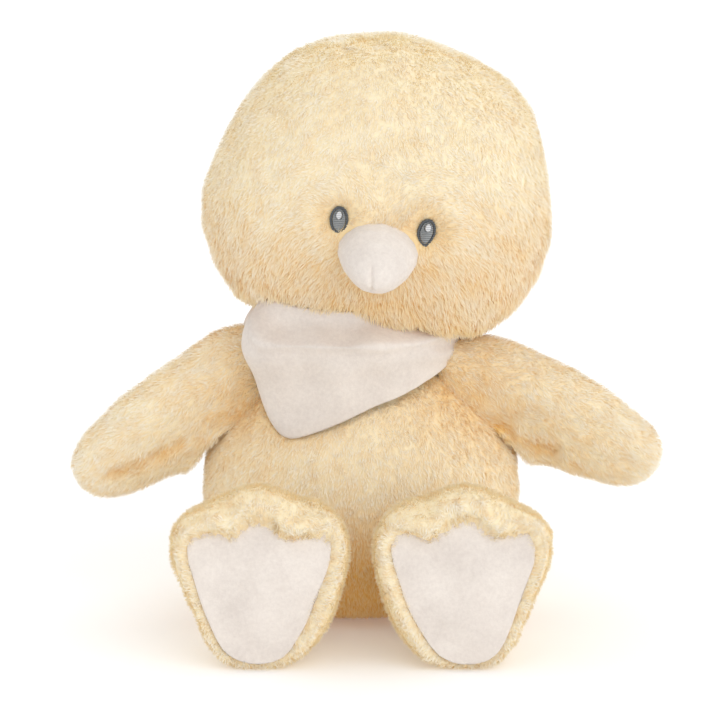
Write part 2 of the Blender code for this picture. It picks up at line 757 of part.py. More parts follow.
def make_leg(side, torso, floor):
    word = "left" if side < 0 else "right"
    leg = word + "_leg"
    centre = Vector((side * HIP_X, HIP_Y, HIP_Z))
    splay = pivot(leg + "_splay", centre, torso)
    swing = pivot(leg + "_swing", (0, 0, 0), splay)
    middle = Vector((side * FOOT_X, FOOT_SOLE_Y + FOOT_FRONT, FOOT_HALF_HEIGHT)) - centre
    lean = Matrix.Translation(middle) @ turned(-FOOT_LEAN, "X")
    heading = math.atan2(middle.x, -middle.y)
    aim = turned(heading, "Z") @ turned(math.pi / 2, "X")
    aim = Matrix.Translation((0, 0, LEG_HALF_HEIGHT - FLOOR_CUT - HIP_Z)) @ aim
    poses = [
        turned(side * spread, "Z") @ turned(-raised, "X")
        for spread in LEG_SPLAY
        for raised in LEG_SWING
    ]
    shape = BODY_PROFILE_SHARES
    room = limb_room(leg, 0, poses, swing, centre, shape)
    inner_room = limb_room(leg + "_lining", SKIN, poses, swing, centre, shape)
    filling_room = limb_room(leg + "_filling", SKIN + GAP, poses, swing, centre, shape)
    pocket = guide(leg + "_pocket", ball(HIP_ROOT_RADIUS + TURN_GAP, BALL_MESH), splay)
    piece(leg + "_root", ball(HIP_ROOT_RADIUS, BALL_MESH), FUR_UNDER, splay)
    sole_spot = lean @ Matrix.Translation((0, SOLE_DEPTH - FOOT_FRONT, SOLE_RISE))
    recess = plate(
        mirrored(SOLE_OUTLINE_SHARES, side),
        SOLE_HALF_WIDTH + GAP,
        SOLE_HALF_HEIGHT + GAP,
        OVERRUN,
        0,
        SOLE_STEPS,
    )
    recess = guide(word + "_sole_recess", recess, swing, sole_spot)
    sole = plate(
        mirrored(SOLE_OUTLINE_SHARES, side),
        SOLE_HALF_WIDTH,
        SOLE_HALF_HEIGHT,
        VELOUR,
        SOLE_DOME,
        SOLE_STEPS,
    )
    piece(word + "_sole_patch", sole, CREAM, swing, sole_spot @ Matrix.Translation((0, -GAP, 0)))
    lining = guide(word + "_foot_lining", foot_form(side, SKIN, FOOT_INNER_MESH), swing, lean)
    leg_lining = guide(leg + "_lining", leg_form(SKIN, LEG_INNER_MESH), swing, aim)
    join(lining, leg_lining)
    clear(lining, inner_room)
    tube = guide(leg + "_tube", leg_form(0, LEG_MESH), swing, aim)
    cover = piece(leg + "_cover", foot_form(side, 0, FOOT_MESH), FUR, swing, lean)
    join(cover, tube)
    cut(cover, lining, recess, pocket, floor)
    clear(cover, room)
    inner_tube = guide(leg + "_filling_tube", leg_form(SKIN + GAP, LEG_INNER_MESH), swing, aim)
    filling = foot_form(side, SKIN + GAP, FOOT_INNER_MESH)
    filling = piece(leg + "_stuffing", filling, FILLING, swing, lean)
    join(filling, inner_tube)
    cut(filling, recess, pocket)
    clear(filling, filling_room)
    return pocket


def make_torso(torso, sockets, floor):
    seam = GAP / 2
    wide = BODY_HALF_WIDTH + OVERRUN
    tall = BODY_HEIGHT + OVERRUN
    behind = guide("body_behind_seam", block((-wide, -seam, -wide), (wide, wide, tall)), torso)
    ahead = guide("body_ahead_of_seam", block((-wide, -wide, -wide), (wide, seam, tall)), torso)
    lining = guide("body_lining", body_form(SKIN, INNER_MESH), torso)
    front = piece("body_front_panel", body_form(0, OUTER_MESH), FUR, torso)
    cut(front, lining, behind, floor, *sockets)
    back = piece("body_back_panel", body_form(0, OUTER_MESH), FUR, torso)
    cut(back, lining, ahead, floor, *sockets)
    filling = piece("body_stuffing", body_form(SKIN + GAP, INNER_MESH), FILLING, torso)
    pouch_spot = Matrix.Translation((0, 0, SKIN))
    pouch_bed = guide("pouch_bed", pouch_form(GAP), torso, pouch_spot)
    cut(filling, pouch_bed, *sockets)
    pouch = piece("seat_pellet_pouch", pouch_form(0), POUCH_CLOTH, torso, pouch_spot)
    below = block((-wide, -wide, -wide), (wide, wide, SKIN + TURN_GAP))
    cut(pouch, guide("under_pouch", below, torso))


def pouch_form(growth):
    """A sack of pellets that lies on the inside of the seat."""
    form = ball(1, POUCH_MESH)
    for vert in form.verts:
        vert.co = (
            vert.co.x * (POUCH_HALF_WIDTH + growth),
            vert.co.y * (POUCH_HALF_DEPTH + growth),
            vert.co.z * (POUCH_HEIGHT + growth),
        )
    return form


def make_tail(torso):
    aim = Matrix.Translation((0, BODY_BACK - TAIL_SEAT, TAIL_HEIGHT)) @ turned(
        TAIL_RISE - math.pi / 2, "X"
    )
    against = guide("tail_seat", body_form(-GAP, OUTER_MESH), torso)
    hollow = guide("tail_hollow", tail_form(SKIN), torso, aim)
    cover = piece("tail_cover", tail_form(0), FUR, torso, aim)
    cut(cover, hollow, against)
    filling = piece("tail_stuffing", tail_form(SKIN + GAP), FILLING, torso, aim)
    cut(filling, against)


def tail_form(inset):
    return swelling(
        TAIL_PROFILE_SHARES,
        TAIL_HALF_WIDTH - inset,
        TAIL_HALF_THICKNESS - inset,
        TAIL_HALF_THICKNESS - inset,
        TAIL_LENGTH - inset,
        1,
        TAIL_MESH,
    )


def body_reach(turn, height):
    """How far the body's surface lies from its axis, in a direction and at a height."""
    path = smooth_path([(s, a, 0) for s, a in BODY_PROFILE_SHARES], closed=False)
    level = height / BODY_HEIGHT
    share = 0
    for start, end in zip(path, path[1:]):
        if start.y <= level <= end.y and end.y > start.y:
            share = start.x + (end.x - start.x) * (level - start.y) / (end.y - start.y)
    x, y = math.sin(turn), math.cos(turn)
    depth = BODY_FRONT if y > 0 else BODY_BACK
    power = 1 / BODY_FULLNESS * 2
    size = (abs(x / BODY_HALF_WIDTH) ** power + abs(y / depth) ** power) ** (1 / power)
    return share / size


def make_scarf(torso):
    """A loop of cloth round the neck that runs down to a corner on the chest."""
    sheet = bmesh.new()
    grid = []
    count = len(SCARF_STATION_SHARES)
    for number in range(count * SCARF_SPLITS):
        start, part = divmod(number, SCARF_SPLITS)
        knots = [Vector(SCARF_STATION_SHARES[(start + i) % count]) for i in (-1, 0, 1, 2)]
        for i in range(1, len(knots)):
            while knots[i][0] < knots[i - 1][0]:
                knots[i][0] += 360
        spot = spline_point(*knots, part / SCARF_SPLITS)
        turn = math.radians(spot[0])
        column = []
        for row in range(SCARF_ROWS):
            share = row / (SCARF_ROWS - 1)
            height = NECK_HEIGHT * (spot[2] + (spot[3] - spot[2]) * share)
            reach = max(SCARF_REACH * spot[1], body_reach(turn, height) + SCARF_CLEAR)
            roll = math.sin(math.pi * min(share * 2, 1)) * SCARF_ROLL
            reach += roll * max(0, math.cos(turn))
            spot_at = (reach * math.sin(turn), -reach * math.cos(turn), height)
            column.append(sheet.verts.new(spot_at))
        grid.append(column)
    for left, right in zip(grid, grid[1:] + grid[:1]):
        for row in range(SCARF_ROWS - 1):
            sheet.faces.new((left[row], left[row + 1], right[row + 1], right[row]))
    bmesh.ops.recalc_face_normals(sheet, faces=sheet.faces)
    scarf = piece("bandana", sheet, CREAM, torso)
    thick = scarf.modifiers.new("cloth", "SOLIDIFY")
    thick.thickness = VELOUR
    thick.offset = 1


def build():
    duck = pivot("duck", (BODY_X, BODY_Y, 0), None)
    torso = pivot("torso", (0, 0, 0), duck)
    wide = WING_LENGTH + OVERRUN
    under = block((-wide, -wide, -OVERRUN), (wide, wide, 0))
    floor = guide("under_floor", under, torso)
    tilt, neck_socket = make_neck(torso)
    make_head(tilt, neck_socket)
    sockets = [neck_socket]
    for side in (-1, 1):
        sockets.append(make_wing(side, torso))
        sockets.append(make_leg(side, torso, floor))
    make_torso(torso, sockets, floor)
    make_tail(torso)
    make_scarf(torso)


clear_scene()
DUCK = collection("plush_duck")
CUTTERS = collection("cutters")
build()
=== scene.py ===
"""Looks of the plush duck: fur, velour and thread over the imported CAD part.

Each soft CAD node is replaced by a finer piece of the same form. A fine closed surface is laid
round the node first. Fur pieces then get a backing cloth just under that surface, with thousands
of short mesh blades growing out of it.
"""

import json
import math

import bmesh
import bpy
import numpy as np
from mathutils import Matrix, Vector
from mathutils.bvhtree import BVHTree
from mathutils.kdtree import KDTree


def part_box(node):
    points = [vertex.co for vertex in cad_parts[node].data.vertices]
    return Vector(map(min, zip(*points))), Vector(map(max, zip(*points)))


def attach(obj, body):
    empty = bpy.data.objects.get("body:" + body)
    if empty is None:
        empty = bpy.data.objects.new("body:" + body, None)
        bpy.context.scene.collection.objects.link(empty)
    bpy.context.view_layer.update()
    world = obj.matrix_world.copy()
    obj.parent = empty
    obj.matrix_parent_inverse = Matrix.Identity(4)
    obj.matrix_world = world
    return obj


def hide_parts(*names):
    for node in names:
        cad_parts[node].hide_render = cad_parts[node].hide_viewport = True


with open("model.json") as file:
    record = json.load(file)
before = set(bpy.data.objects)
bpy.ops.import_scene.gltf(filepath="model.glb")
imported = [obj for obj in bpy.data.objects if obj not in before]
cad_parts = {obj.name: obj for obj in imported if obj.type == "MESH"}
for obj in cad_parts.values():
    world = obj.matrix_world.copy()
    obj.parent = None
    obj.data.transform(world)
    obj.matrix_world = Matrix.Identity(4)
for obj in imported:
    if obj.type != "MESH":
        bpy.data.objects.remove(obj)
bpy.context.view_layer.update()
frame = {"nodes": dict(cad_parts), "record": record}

MM = 0.001
DOWN = np.array((0.0, 0.0, -1.0))

# left and right as they are seen by someone who looks at the toy's face
SIDES = ("left", "right")

# a point on the toy's own middle line, close to where the camera looks
MIDDLE = Vector((-0.0028, 0.0216, 0.12375))

# how far from a piece's middle the rays start that look for its outer side
FAR = 0.4

# how finely the balls are divided that pieces are wrapped from
FINE = 6
MIDDLING = 5
PLAIN = 4

# the cloth under the fur, coloured like the blades at this height on them
BACKING_DEPTH = 1.4 * MM
BACKING_THICKNESS = 1.0 * MM
BACKING_HEIGHT = 0.12

# blades of fur: their corners' heights, their triangles, and how much blades differ
BLADE_HEIGHTS = (0.05, 0.05, 0.55, 0.55, 0.97)
BLADE_FACES = ((0, 1, 3), (0, 3, 2), (2, 3, 4))
BLADE_LENGTHS = (0.8, 1.15)
BLADE_WIDTHS = (0.75, 1.25)
BLADE_STRAY = 0.25
TONE_LIMITS = (0.02, 0.98)

# velour's nap and the wider patches it is brushed in, as scales of noise
NAP_SCALE = 520
BRUSHED_SCALE = 48

THREAD_PITCH = 0.95 * MM
THREAD_HEIGHT = 0.09 * MM
THREAD_GRAIN = 0.14 * MM

# colours
# the fur's pale colours from tip to root; the deeper, more golden root colour is partly the pile's
# own and partly painted shade deep in the pile
BUTTER_TIP = (0.91, 0.875, 0.80)
BUTTER_MID = (0.91, 0.86, 0.73)
BUTTER_ROOT = (0.91, 0.815, 0.58)
# the fur's golden colours, mixed in where the tone is low: painted shade in creases, seams, gaps
# between parts, under the head and between the legs, and the pile's golden roots at the cheeks and
# round the beak
GOLD_TIP = (0.90, 0.76, 0.48)
GOLD_MID = (0.88, 0.67, 0.31)
GOLD_ROOT = (0.80, 0.48, 0.13)
CREAM = (0.795, 0.73, 0.67)
CREAM_SHADE = (0.665, 0.60, 0.55)
FIBRE_WHITE = (0.85, 0.84, 0.81)
POUCH_CLOTH = (0.62, 0.58, 0.52)
# thread colours: each is lighter along the threads' backs, as a painted highlight, and darker at
# their sides, as painted shade (the _SHADE colours)
DARK_THREAD = (0.125, 0.135, 0.145)
DARK_THREAD_SHADE = (0.060, 0.067, 0.074)
GREY_THREAD = (0.34, 0.355, 0.36)
GREY_THREAD_SHADE = (0.12, 0.13, 0.14)
SILVER_THREAD = (0.72, 0.73, 0.74)
SILVER_THREAD_SHADE = (0.42, 0.43, 0.45)


# Numbers and vectors


def unit(vectors):
    """The vectors, each with length one"""
    length = np.linalg.norm(vectors, axis=-1, keepdims=True)
    return vectors / np.maximum(length, 1e-9)


def ripple(points, size, seed):
    """A smooth random value from about -1 to 1 at each point, with waves about as wide as size"""
    rng = np.random.default_rng(seed)
    waves = 9
    heading = unit(rng.normal(size=(waves, 3)))
    pace = 2 * math.pi / size * rng.uniform(0.6, 1.5, waves)
    start = rng.uniform(0, 2 * math.pi, waves)
    return np.sin(points @ (heading * pace[:, None]).T + start).sum(axis=1) / math.sqrt(waves)


def bump(values, middle, reach):
    """One where a value is at the middle, falling to nothing over a few times the reach"""
    return np.exp(-((values - middle) / reach) ** 2)


def eased(values, low, high):
    """Nothing up to low, one from high on, and smooth between"""
    share = np.clip((values - low) / (high - low), 0, 1)
    return share * share * (3 - 2 * share)


def steady(value):
    """A value that is the same at each point"""
    return lambda points: np.full(len(points), value)


def nearness(points, spot, reach):
    """One at the spot, falling to nothing over a few times the reach"""
    return bump(np.linalg.norm(points - np.asarray(spot), axis=1), 0, reach)


def nearness_from_front(points, x, z, reach):
    """The same for a spot on the toy's front, seen from the front"""
    gap = np.linalg.norm(points[:, ::2] - (x, z), axis=1)
    return bump(gap, 0, reach) * (points[:, 1] < MIDDLE.y)


def away(points, spot):
    """The directions from the spot to the points"""
    return unit(points - np.asarray(spot))


def mesh_arrays(names):
    """The corners and polygons of these CAD nodes as one set, and each polygon's node"""
    corners, polygons, owners = [], [], []
    for place, name in enumerate(names):
        mesh = frame["nodes"][name].data
        first = len(corners)
        corners += [vertex.co.copy() for vertex in mesh.vertices]
        polygons += [[first + i for i in polygon.vertices] for polygon in mesh.polygons]
        owners += [place] * len(mesh.polygons)
    return corners, polygons, np.array(owners)


def tree_of(names):
    """A search tree over these CAD nodes' faces"""
    corners, polygons, _ = mesh_arrays(names)
    return BVHTree.FromPolygons(corners, polygons)


def gaps_to(tree, points):
    """How far each point lies from the tree's faces"""
    return np.array([tree.find_nearest(Vector(point))[3] for point in points])


def middle_of(name):
    """The middle of a CAD node's box"""
    low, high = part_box(name)
    return (low + high) / 2


# Surfaces


class Surface:
    """A triangle mesh held as arrays: points, triangles and the CAD node under each triangle"""

    def __init__(self, points, triangles, owners):
        self.points = points
        self.triangles = triangles
        self.owners = owners
        edges = np.concatenate((triangles[:, :2], triangles[:, 1:], triangles[:, ::2]))
        self.edges = np.unique(np.sort(edges, axis=1), axis=0)

    def mean_of_neighbours(self, values):
        """For each point, the mean of its neighbours' values"""
        count = np.bincount(self.edges.ravel(), minlength=len(self.points))
        total = np.zeros_like(values)
        for column in range(values.shape[1]):
            one = np.bincount(self.edges[:, 0], values[self.edges[:, 1], column], len(values))
            two = np.bincount(self.edges[:, 1], values[self.edges[:, 0], column], len(values))
            total[:, column] = one + two
        return total / np.maximum(count, 1)[:, None]

    def smooth(self, rounds):
        """Rounds off facets without shrinking the form"""
        for _ in range(rounds):
            for share in (0.5, -0.53):
                mean = self.mean_of_neighbours(self.points)
                self.points = self.points + share * (mean - self.points)

    def normals(self):
        """The outward direction at each point"""
        a, b, c = (self.points[self.triangles[:, i]] for i in range(3))
        face = np.cross(b - a, c - a)
        total = np.zeros_like(self.points)
        for i in range(3):
            for column in range(3):
                total[:, column] += np.bincount(
                    self.triangles[:, i], face[:, column], len(self.points)
                )
        return unit(total)

    def swell(self, rise):
        """Moves each point outward by its own rise"""
        self.points = self.points + self.normals() * rise[:, None]

    def areas(self):
        """The area of each triangle"""
        a, b, c = (self.points[self.triangles[:, i]] for i in range(3))
        return np.linalg.norm(np.cross(b - a, c - a), axis=1) / 2


def ball_arrays(level):
    """Points and triangles of an even ball of radius one"""
    ball = bmesh.new()
    bmesh.ops.create_icosphere(ball, subdivisions=level, radius=1)
    points = np.array([vertex.co[:] for vertex in ball.verts])
    triangles = np.array([[vertex.index for vertex in face.verts] for face in ball.faces])
    ball.free()
    return points, triangles


def looked_at(tree, centre, rays):
    """How far out the tree's faces reach along each ray from the centre, and the number of the
    face. A ray that meets nothing gets no reach and the number -1."""
    reach = np.zeros((len(rays), 1))
    faces = np.full(len(rays), -1)
    start = Vector(centre)
    for i, ray in enumerate(rays):
        heading = Vector(ray)
        spot, _, face, gap = tree.ray_cast(start + heading * FAR, -heading, FAR)
        if spot is not None:
            reach[i] = FAR - gap
            faces[i] = face
    return reach, faces


def wrapped(names, level=FINE, centre=None, bridged=(), rounds=12):
    """A fine closed surface round the CAD nodes, found by looking at them from all sides.
    bridged is a list of (spot, reach): what lies nearer a spot than its reach is spanned smoothly."""
    corners, polygons, owners = mesh_arrays(names)
    tree = BVHTree.FromPolygons(corners, polygons)
    box = np.array([corner[:] for corner in corners])
    half = (box.max(0) - box.min(0)) / 2
    centre = (box.max(0) + box.min(0)) / 2 if centre is None else np.array(centre)
    ball, triangles = ball_arrays(level)
    rays = unit(ball * half)
    reach, faces = looked_at(tree, centre, rays)
    open_place = faces < 0
    owner = np.where(open_place, 0, owners[faces])
    found = centre + rays * reach
    for spot, width in bridged:
        open_place |= np.linalg.norm(found - np.array(spot), axis=1) < width
    surface = Surface(found, triangles, owner[triangles[:, 0]])
    if open_place.any():
        reach[open_place] = reach[~open_place].mean()
        for _ in range(400):
            reach[open_place] = surface.mean_of_neighbours(reach)[open_place]
        surface.points = centre + rays * reach
    surface.smooth(rounds)
    return surface


def part_of(surface, place):
    """The triangles over one of the surface's nodes, as (points used, triangles renumbered)"""
    chosen = surface.triangles[surface.owners == place]
    used, renumbered = np.unique(chosen, return_inverse=True)
    return used, renumbered.reshape(chosen.shape)


def shell_arrays(surface, place, depth, thickness):
    """A cloth panel of even thickness, its outer face the given depth under the surface"""
    used, triangles = part_of(surface, place)
    normals = surface.normals()[used]
    outer = surface.points[used] - normals * depth
    inner = outer - normals * thickness
    count = len(used)
    sides = np.concatenate((triangles[:, [0, 1]], triangles[:, [1, 2]], triangles[:, [2, 0]]))
    ordered = np.sort(sides, axis=1)
    _, index, uses = np.unique(ordered, axis=0, return_index=True, return_counts=True)
    rim = sides[index[uses == 1]]
    first, second = rim[:, 0], rim[:, 1]
    band = np.concatenate((
        np.stack((second, first, first + count), axis=1),
        np.stack((second, first + count, second + count), axis=1),
    ))
    faces = np.concatenate((triangles, triangles[:, ::-1] + count, band))
    return np.concatenate((outer, inner)), faces


# Objects


def new_object(name, points, triangles, tone=None, height=None):
    """A mesh object from arrays. tone and height, one value a point, become the map OFBake"""
    mesh = bpy.data.meshes.new(name)
    mesh.vertices.add(len(points))
    mesh.vertices.foreach_set("co", points.astype(np.float32).ravel())
    mesh.loops.add(3 * len(triangles))
    mesh.loops.foreach_set("vertex_index", triangles.astype(np.int32).ravel())
    mesh.polygons.add(len(triangles))
    mesh.polygons.foreach_set("loop_start", np.arange(0, 3 * len(triangles), 3, dtype=np.int32))
    mesh.polygons.foreach_set("use_smooth", np.ones(len(triangles), bool))
    mesh.update(calc_edges=True)
    if tone is not None:
        layer = mesh.uv_layers.new(name="OFBake")
        corner = triangles.ravel()
        values = np.stack((tone[corner], height[corner]), axis=1)
        layer.data.foreach_set("uv", values.astype(np.float32).ravel())
    piece = bpy.data.objects.new(name, mesh)
    bpy.context.scene.collection.objects.link(piece)
    return piece


def finish_piece(piece, material, body, replaced):
    """Dresses a piece, ties it to its body and hides the CAD nodes it stands for"""
    piece.data.materials.append(material)
    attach(piece, body)
    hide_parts(*replaced)
    return piece


# Materials


def plain_material(name, colour, roughness=0.9, sheen=0.0):
    """One even colour"""
    material = bpy.data.materials.new(name)
    material.use_nodes = True
    shader = material.node_tree.nodes["Principled BSDF"]
    shader.inputs["Base Color"].default_value = (*colour, 1)
    shader.inputs["Roughness"].default_value = roughness
    shader.inputs["Specular IOR Level"].default_value = 0.2
    shader.inputs["Sheen Weight"].default_value = sheen
    return material


def ramp_node(tree, factor, colours):
    """A colour ramp over evenly spaced colours"""
    node = tree.nodes.new("ShaderNodeValToRGB")
    elements = node.color_ramp.elements
    while len(elements) < len(colours):
        elements.new(0.5)
    for i, colour in enumerate(colours):
        elements[i].position = i / (len(colours) - 1)
        elements[i].color = (*colour, 1)
    tree.links.new(factor, node.inputs["Fac"])
    return node.outputs["Color"]


def fur_material(name, pale, gold):
    """Pile coloured from root to tip up the map's height, from gold to pale along its width. The more
    golden roots are partly painted shade deep in the pile, and the gold end of the width is mostly
    painted shade
    """
    material = bpy.data.materials.new(name)
    material.use_nodes = True
    tree = material.node_tree
    shader = tree.nodes["Principled BSDF"]
    place = tree.nodes.new("ShaderNodeUVMap")
    place.uv_map = "OFBake"
    split = tree.nodes.new("ShaderNodeSeparateXYZ")
    tree.links.new(place.outputs["UV"], split.inputs["Vector"])
    golden = ramp_node(tree, split.outputs["Y"], gold)
    light = ramp_node(tree, split.outputs["Y"], pale)
    mix = tree.nodes.new("ShaderNodeMix")
    mix.data_type = "RGBA"
    tree.links.new(split.outputs["X"], mix.inputs["Factor"])
    tree.links.new(golden, mix.inputs[6])
    tree.links.new(light, mix.inputs[7])
    tree.links.new(mix.outputs[2], shader.inputs["Base Color"])
    shader.inputs["Roughness"].default_value = 1
    shader.inputs["Specular IOR Level"].default_value = 0
    return material


def velour_material(name, light, shade):
    """Short-pile velour: a fine streaky nap, brushed a little this way and that"""
    material = plain_material(name, light, roughness=0.95, sheen=0.15)
    tree = material.node_tree
    shader = tree.nodes["Principled BSDF"]
    place = tree.nodes.new("ShaderNodeTexCoord")
    nap = tree.nodes.new("ShaderNodeTexNoise")
    nap.inputs["Scale"].default_value = NAP_SCALE
    nap.inputs["Detail"].default_value = 4
    nap.inputs["Roughness"].default_value = 0.7
    brushed = tree.nodes.new("ShaderNodeTexNoise")
    brushed.inputs["Scale"].default_value = BRUSHED_SCALE
    brushed.inputs["Detail"].default_value = 2
    both = tree.nodes.new("ShaderNodeMath")
    both.operation = "ADD"
    for noise, socket in ((nap, 0), (brushed, 1)):
        tree.links.new(place.outputs["Object"], noise.inputs["Vector"])
        tree.links.new(noise.outputs["Fac"], both.inputs[socket])
    share = tree.nodes.new("ShaderNodeMapRange")
    share.inputs["From Min"].default_value = 0.7
    share.inputs["From Max"].default_value = 1.3
    tree.links.new(both.outputs["Value"], share.inputs["Value"])
    colour = ramp_node(tree, share.outputs["Result"], (shade, light))
    tree.links.new(colour, shader.inputs["Base Color"])
    relief = tree.nodes.new("ShaderNodeBump")
    relief.inputs["Strength"].default_value = 0.5
    relief.inputs["Distance"].default_value = 0.3 * MM
    tree.links.new(nap.outputs["Fac"], relief.inputs["Height"])
    tree.links.new(relief.outputs["Normal"], shader.inputs["Normal"])
    return material


def thread_material(name, light, shade):
    """Satin stitch: threads side by side, each with a painted highlight along its back and painted
    shade at its sides
    """
    material = plain_material(name, light, roughness=0.45, sheen=0.1)
    tree = material.node_tree
    place = tree.nodes.new("ShaderNodeTexCoord")
    threads = tree.nodes.new("ShaderNodeTexWave")
    threads.bands_direction = "Z"
    threads.inputs["Scale"].default_value = 2 * math.pi / (20 * THREAD_PITCH)
    threads.inputs["Distortion"].default_value = 1.0
    threads.inputs["Detail"].default_value = 2
    tree.links.new(place.outputs["Object"], threads.inputs["Vector"])
    colour = ramp_node(tree, threads.outputs["Fac"], (shade, light))
    tree.links.new(colour, tree.nodes["Principled BSDF"].inputs["Base Color"])
    return material


# Fur


def scattered(surface, place, count, rng):
    """Roots spread over one node's part of the surface: points, outward directions"""
    chosen = np.nonzero(surface.owners == place)[0]
    triangles = surface.triangles[chosen]
    normals = surface.normals()
    weight = surface.areas()[chosen]
    picked = rng.choice(len(chosen), count, p=weight / weight.sum())
    a, b = rng.uniform(size=(2, count))
    over = a + b > 1
    a[over], b[over] = 1 - a[over], 1 - b[over]
    shares = np.stack((1 - a - b, a, b), axis=1)[:, :, None]
    corner = triangles[picked]
    points = (surface.points[corner] * shares).sum(axis=1)
    outward = unit((normals[corner] * shares).sum(axis=1))
    return points, outward


def visible(points, outward, tree, distance, margin):
    """Which points have nothing of the tree over them within the distance, or beside them"""
    free = np.ones(len(points), bool)
    for i, (point, heading) in enumerate(zip(points, outward)):
        start = Vector(point)
        over = tree.ray_cast(start, Vector(heading), distance)[0]
        free[i] = over is None and tree.find_nearest(start, margin)[0] is None
    return free


def clumped(tips, roots, gathering, per_clump, rng):
    """Tips drawn towards the tip of the nearest of a few leading blades"""
    leaders = rng.choice(len(roots), max(1, len(roots) // per_clump), replace=False)
    tree = KDTree(len(leaders))
    for i, leader in enumerate(leaders):
        tree.insert(Vector(roots[leader]), i)
    tree.balance()
    nearest = np.array([tree.find(Vector(root))[1] for root in roots])
    lead = leaders[nearest]
    return tips + (tips[lead] - tips) * gathering[:, None], lead


def combed(points, outward, look, seed):
    """The directions in which the fur lies along the surface, a little tousled"""
    tousle = [ripple(points, look["lock"], seed + i) for i in (1, 2, 3)]
    comb = look["comb"](points)
    comb = comb + look["tousle"] * np.stack(tousle, axis=1)
    return unit(comb - (comb * outward).sum(axis=1, keepdims=True) * outward)


def blade_corners(points, outward, length, comb, look, seed, rng):
    """The five corners of each blade, and the number of the blade that leads its clump"""
    count = len(points)
    comb = comb + BLADE_STRAY * rng.normal(size=(count, 3))
    lay = look["lay"] * (1 + 0.08 * ripple(points, look["lock"], seed + 4))
    rise = outward * np.sqrt(np.maximum(1 - lay ** 2, 0.1))[:, None]
    heading = unit(rise + comb * lay[:, None])
    roots = points - outward * (BACKING_DEPTH + 0.1 * MM)
    halfway = roots + unit(heading + 0.5 * outward) * (0.5 * length)[:, None]
    tips = halfway + unit(heading * 1.4 + comb * lay[:, None] * 0.6) * (0.5 * length)[:, None]
    gathering = look["gathering"] * rng.uniform(0.5, 1.0, count)
    tips, lead = clumped(tips, roots, gathering, look["per_clump"], rng)
    halfway = halfway + (halfway[lead] - halfway) * (0.45 * gathering)[:, None]
    side = unit(np.cross(heading, outward) + 0.15 * rng.normal(size=(count, 3)))
    width = look["width"] * rng.uniform(*BLADE_WIDTHS, count)[:, None] / 2
    corners = (
        roots - side * width,
        roots + side * width,
        halfway - side * width * 0.85,
        halfway + side * width * 0.85,
        tips,
    )
    return np.stack(corners, axis=1), lead


def blades(surface, place, look, covers=None, seed=1):
    """Fur over one node's part of a surface, on its backing cloth: points, triangles, tone and
    height along the blade. No blade ends under the covers."""
    rng = np.random.default_rng(seed)
    points, outward = scattered(surface, place, look["count"], rng)
    length = look["length"](points) * rng.uniform(*BLADE_LENGTHS, len(points))
    comb = combed(points, outward, look, seed)
    if covers is not None:
        ends = points + comb * (look["lay"] * length)[:, None]
        margin = look.get("margin", 0.8 * MM)
        free = visible(ends, outward, covers, look.get("clearance", 10 * MM), margin)
        points, outward, length, comb = points[free], outward[free], length[free], comb[free]
    corners, lead = blade_corners(points, outward, length, comb, look, seed, rng)
    count = len(points)
    first = len(BLADE_HEIGHTS) * np.arange(count)[:, None]
    triangles = np.concatenate([first + np.array(face) for face in BLADE_FACES])
    uneven = look["uneven"] * (rng.normal(size=count)[lead] + 0.6 * rng.normal(size=count))
    tone = np.clip(look["tone"](points) + uneven, *TONE_LIMITS)
    return (
        corners.reshape(-1, 3),
        triangles,
        np.repeat(tone, len(BLADE_HEIGHTS)),
        np.tile(BLADE_HEIGHTS, count),
    )


def fur_piece(name, surface, place, look, covers=None, seed=1):
    """One object: the backing cloth and the fur on it"""
    cloth, faces = shell_arrays(surface, place, BACKING_DEPTH, BACKING_THICKNESS)
    cloth_tone = np.clip(look["tone"](cloth), *TONE_LIMITS)
    cloth_height = np.full(len(cloth), BACKING_HEIGHT)
    hair, strips, tone, height = blades(surface, place, look, covers, seed)
    return new_object(
        name,
        np.concatenate((cloth, hair)),
        np.concatenate((faces, strips + len(cloth))),
        np.concatenate((cloth_tone, tone)),
        np.concatenate((cloth_height, height)),
    )


# Places on the toy

# x and z of the two tufts that hang over the bandana's top edge
CHIN_TUFTS = ((-0.0405, 0.153), (-0.0020, 0.150))

# the ends of the seams that pinch the wings' front sides
WING_CREASES = {
    "left": ((-0.1235, 0, 0.071), (-0.092, 0, 0.086)),
    "right": ((0.066, 0, 0.091), (0.090, 0, 0.083)),
}

# how far the wings' tops rise beside the head
WING_HUMPS = {"left": 7 * MM, "right": 4 * MM}

# how much wider than its node the neck's fur is
NECK_WIDENING = 5 * MM

# the seam in the beak's tip: how far it lies aside, and its low and high ends
BEAK_SEAM_ASIDE = -3.2 * MM
BEAK_SEAM_LOW = 172 * MM
BEAK_SEAM_HIGH = 190 * MM

# the bandana's cloth: its thickness
BANDANA_THICKNESS = 1.6 * MM

# how far the bandana's top edge lies over its node's: all round, and how much more at the left
# corner, about which angle, and at the back
BANDANA_RISE = 7 * MM
BANDANA_CORNER_RISE = 11.5 * MM
BANDANA_CORNER_ANGLE = -74
BANDANA_BACK_RISE = 5 * MM

# how far the bandana's corners bulge, the left one low and then back in over it
BANDANA_LEFT_BULGE = 14 * MM
BANDANA_LEFT_RETURN = 12 * MM
BANDANA_RIGHT_BULGE = 11.5 * MM

# the height of the bandana's fold in front, how much higher it is at the left, its lip and tuck
BANDANA_FOLD = 144 * MM
BANDANA_FOLD_RISE = 14 * MM
BANDANA_LIP = 2.4 * MM
BANDANA_TUCK = 8 * MM
BANDANA_BACK_LEAN = 9 * MM

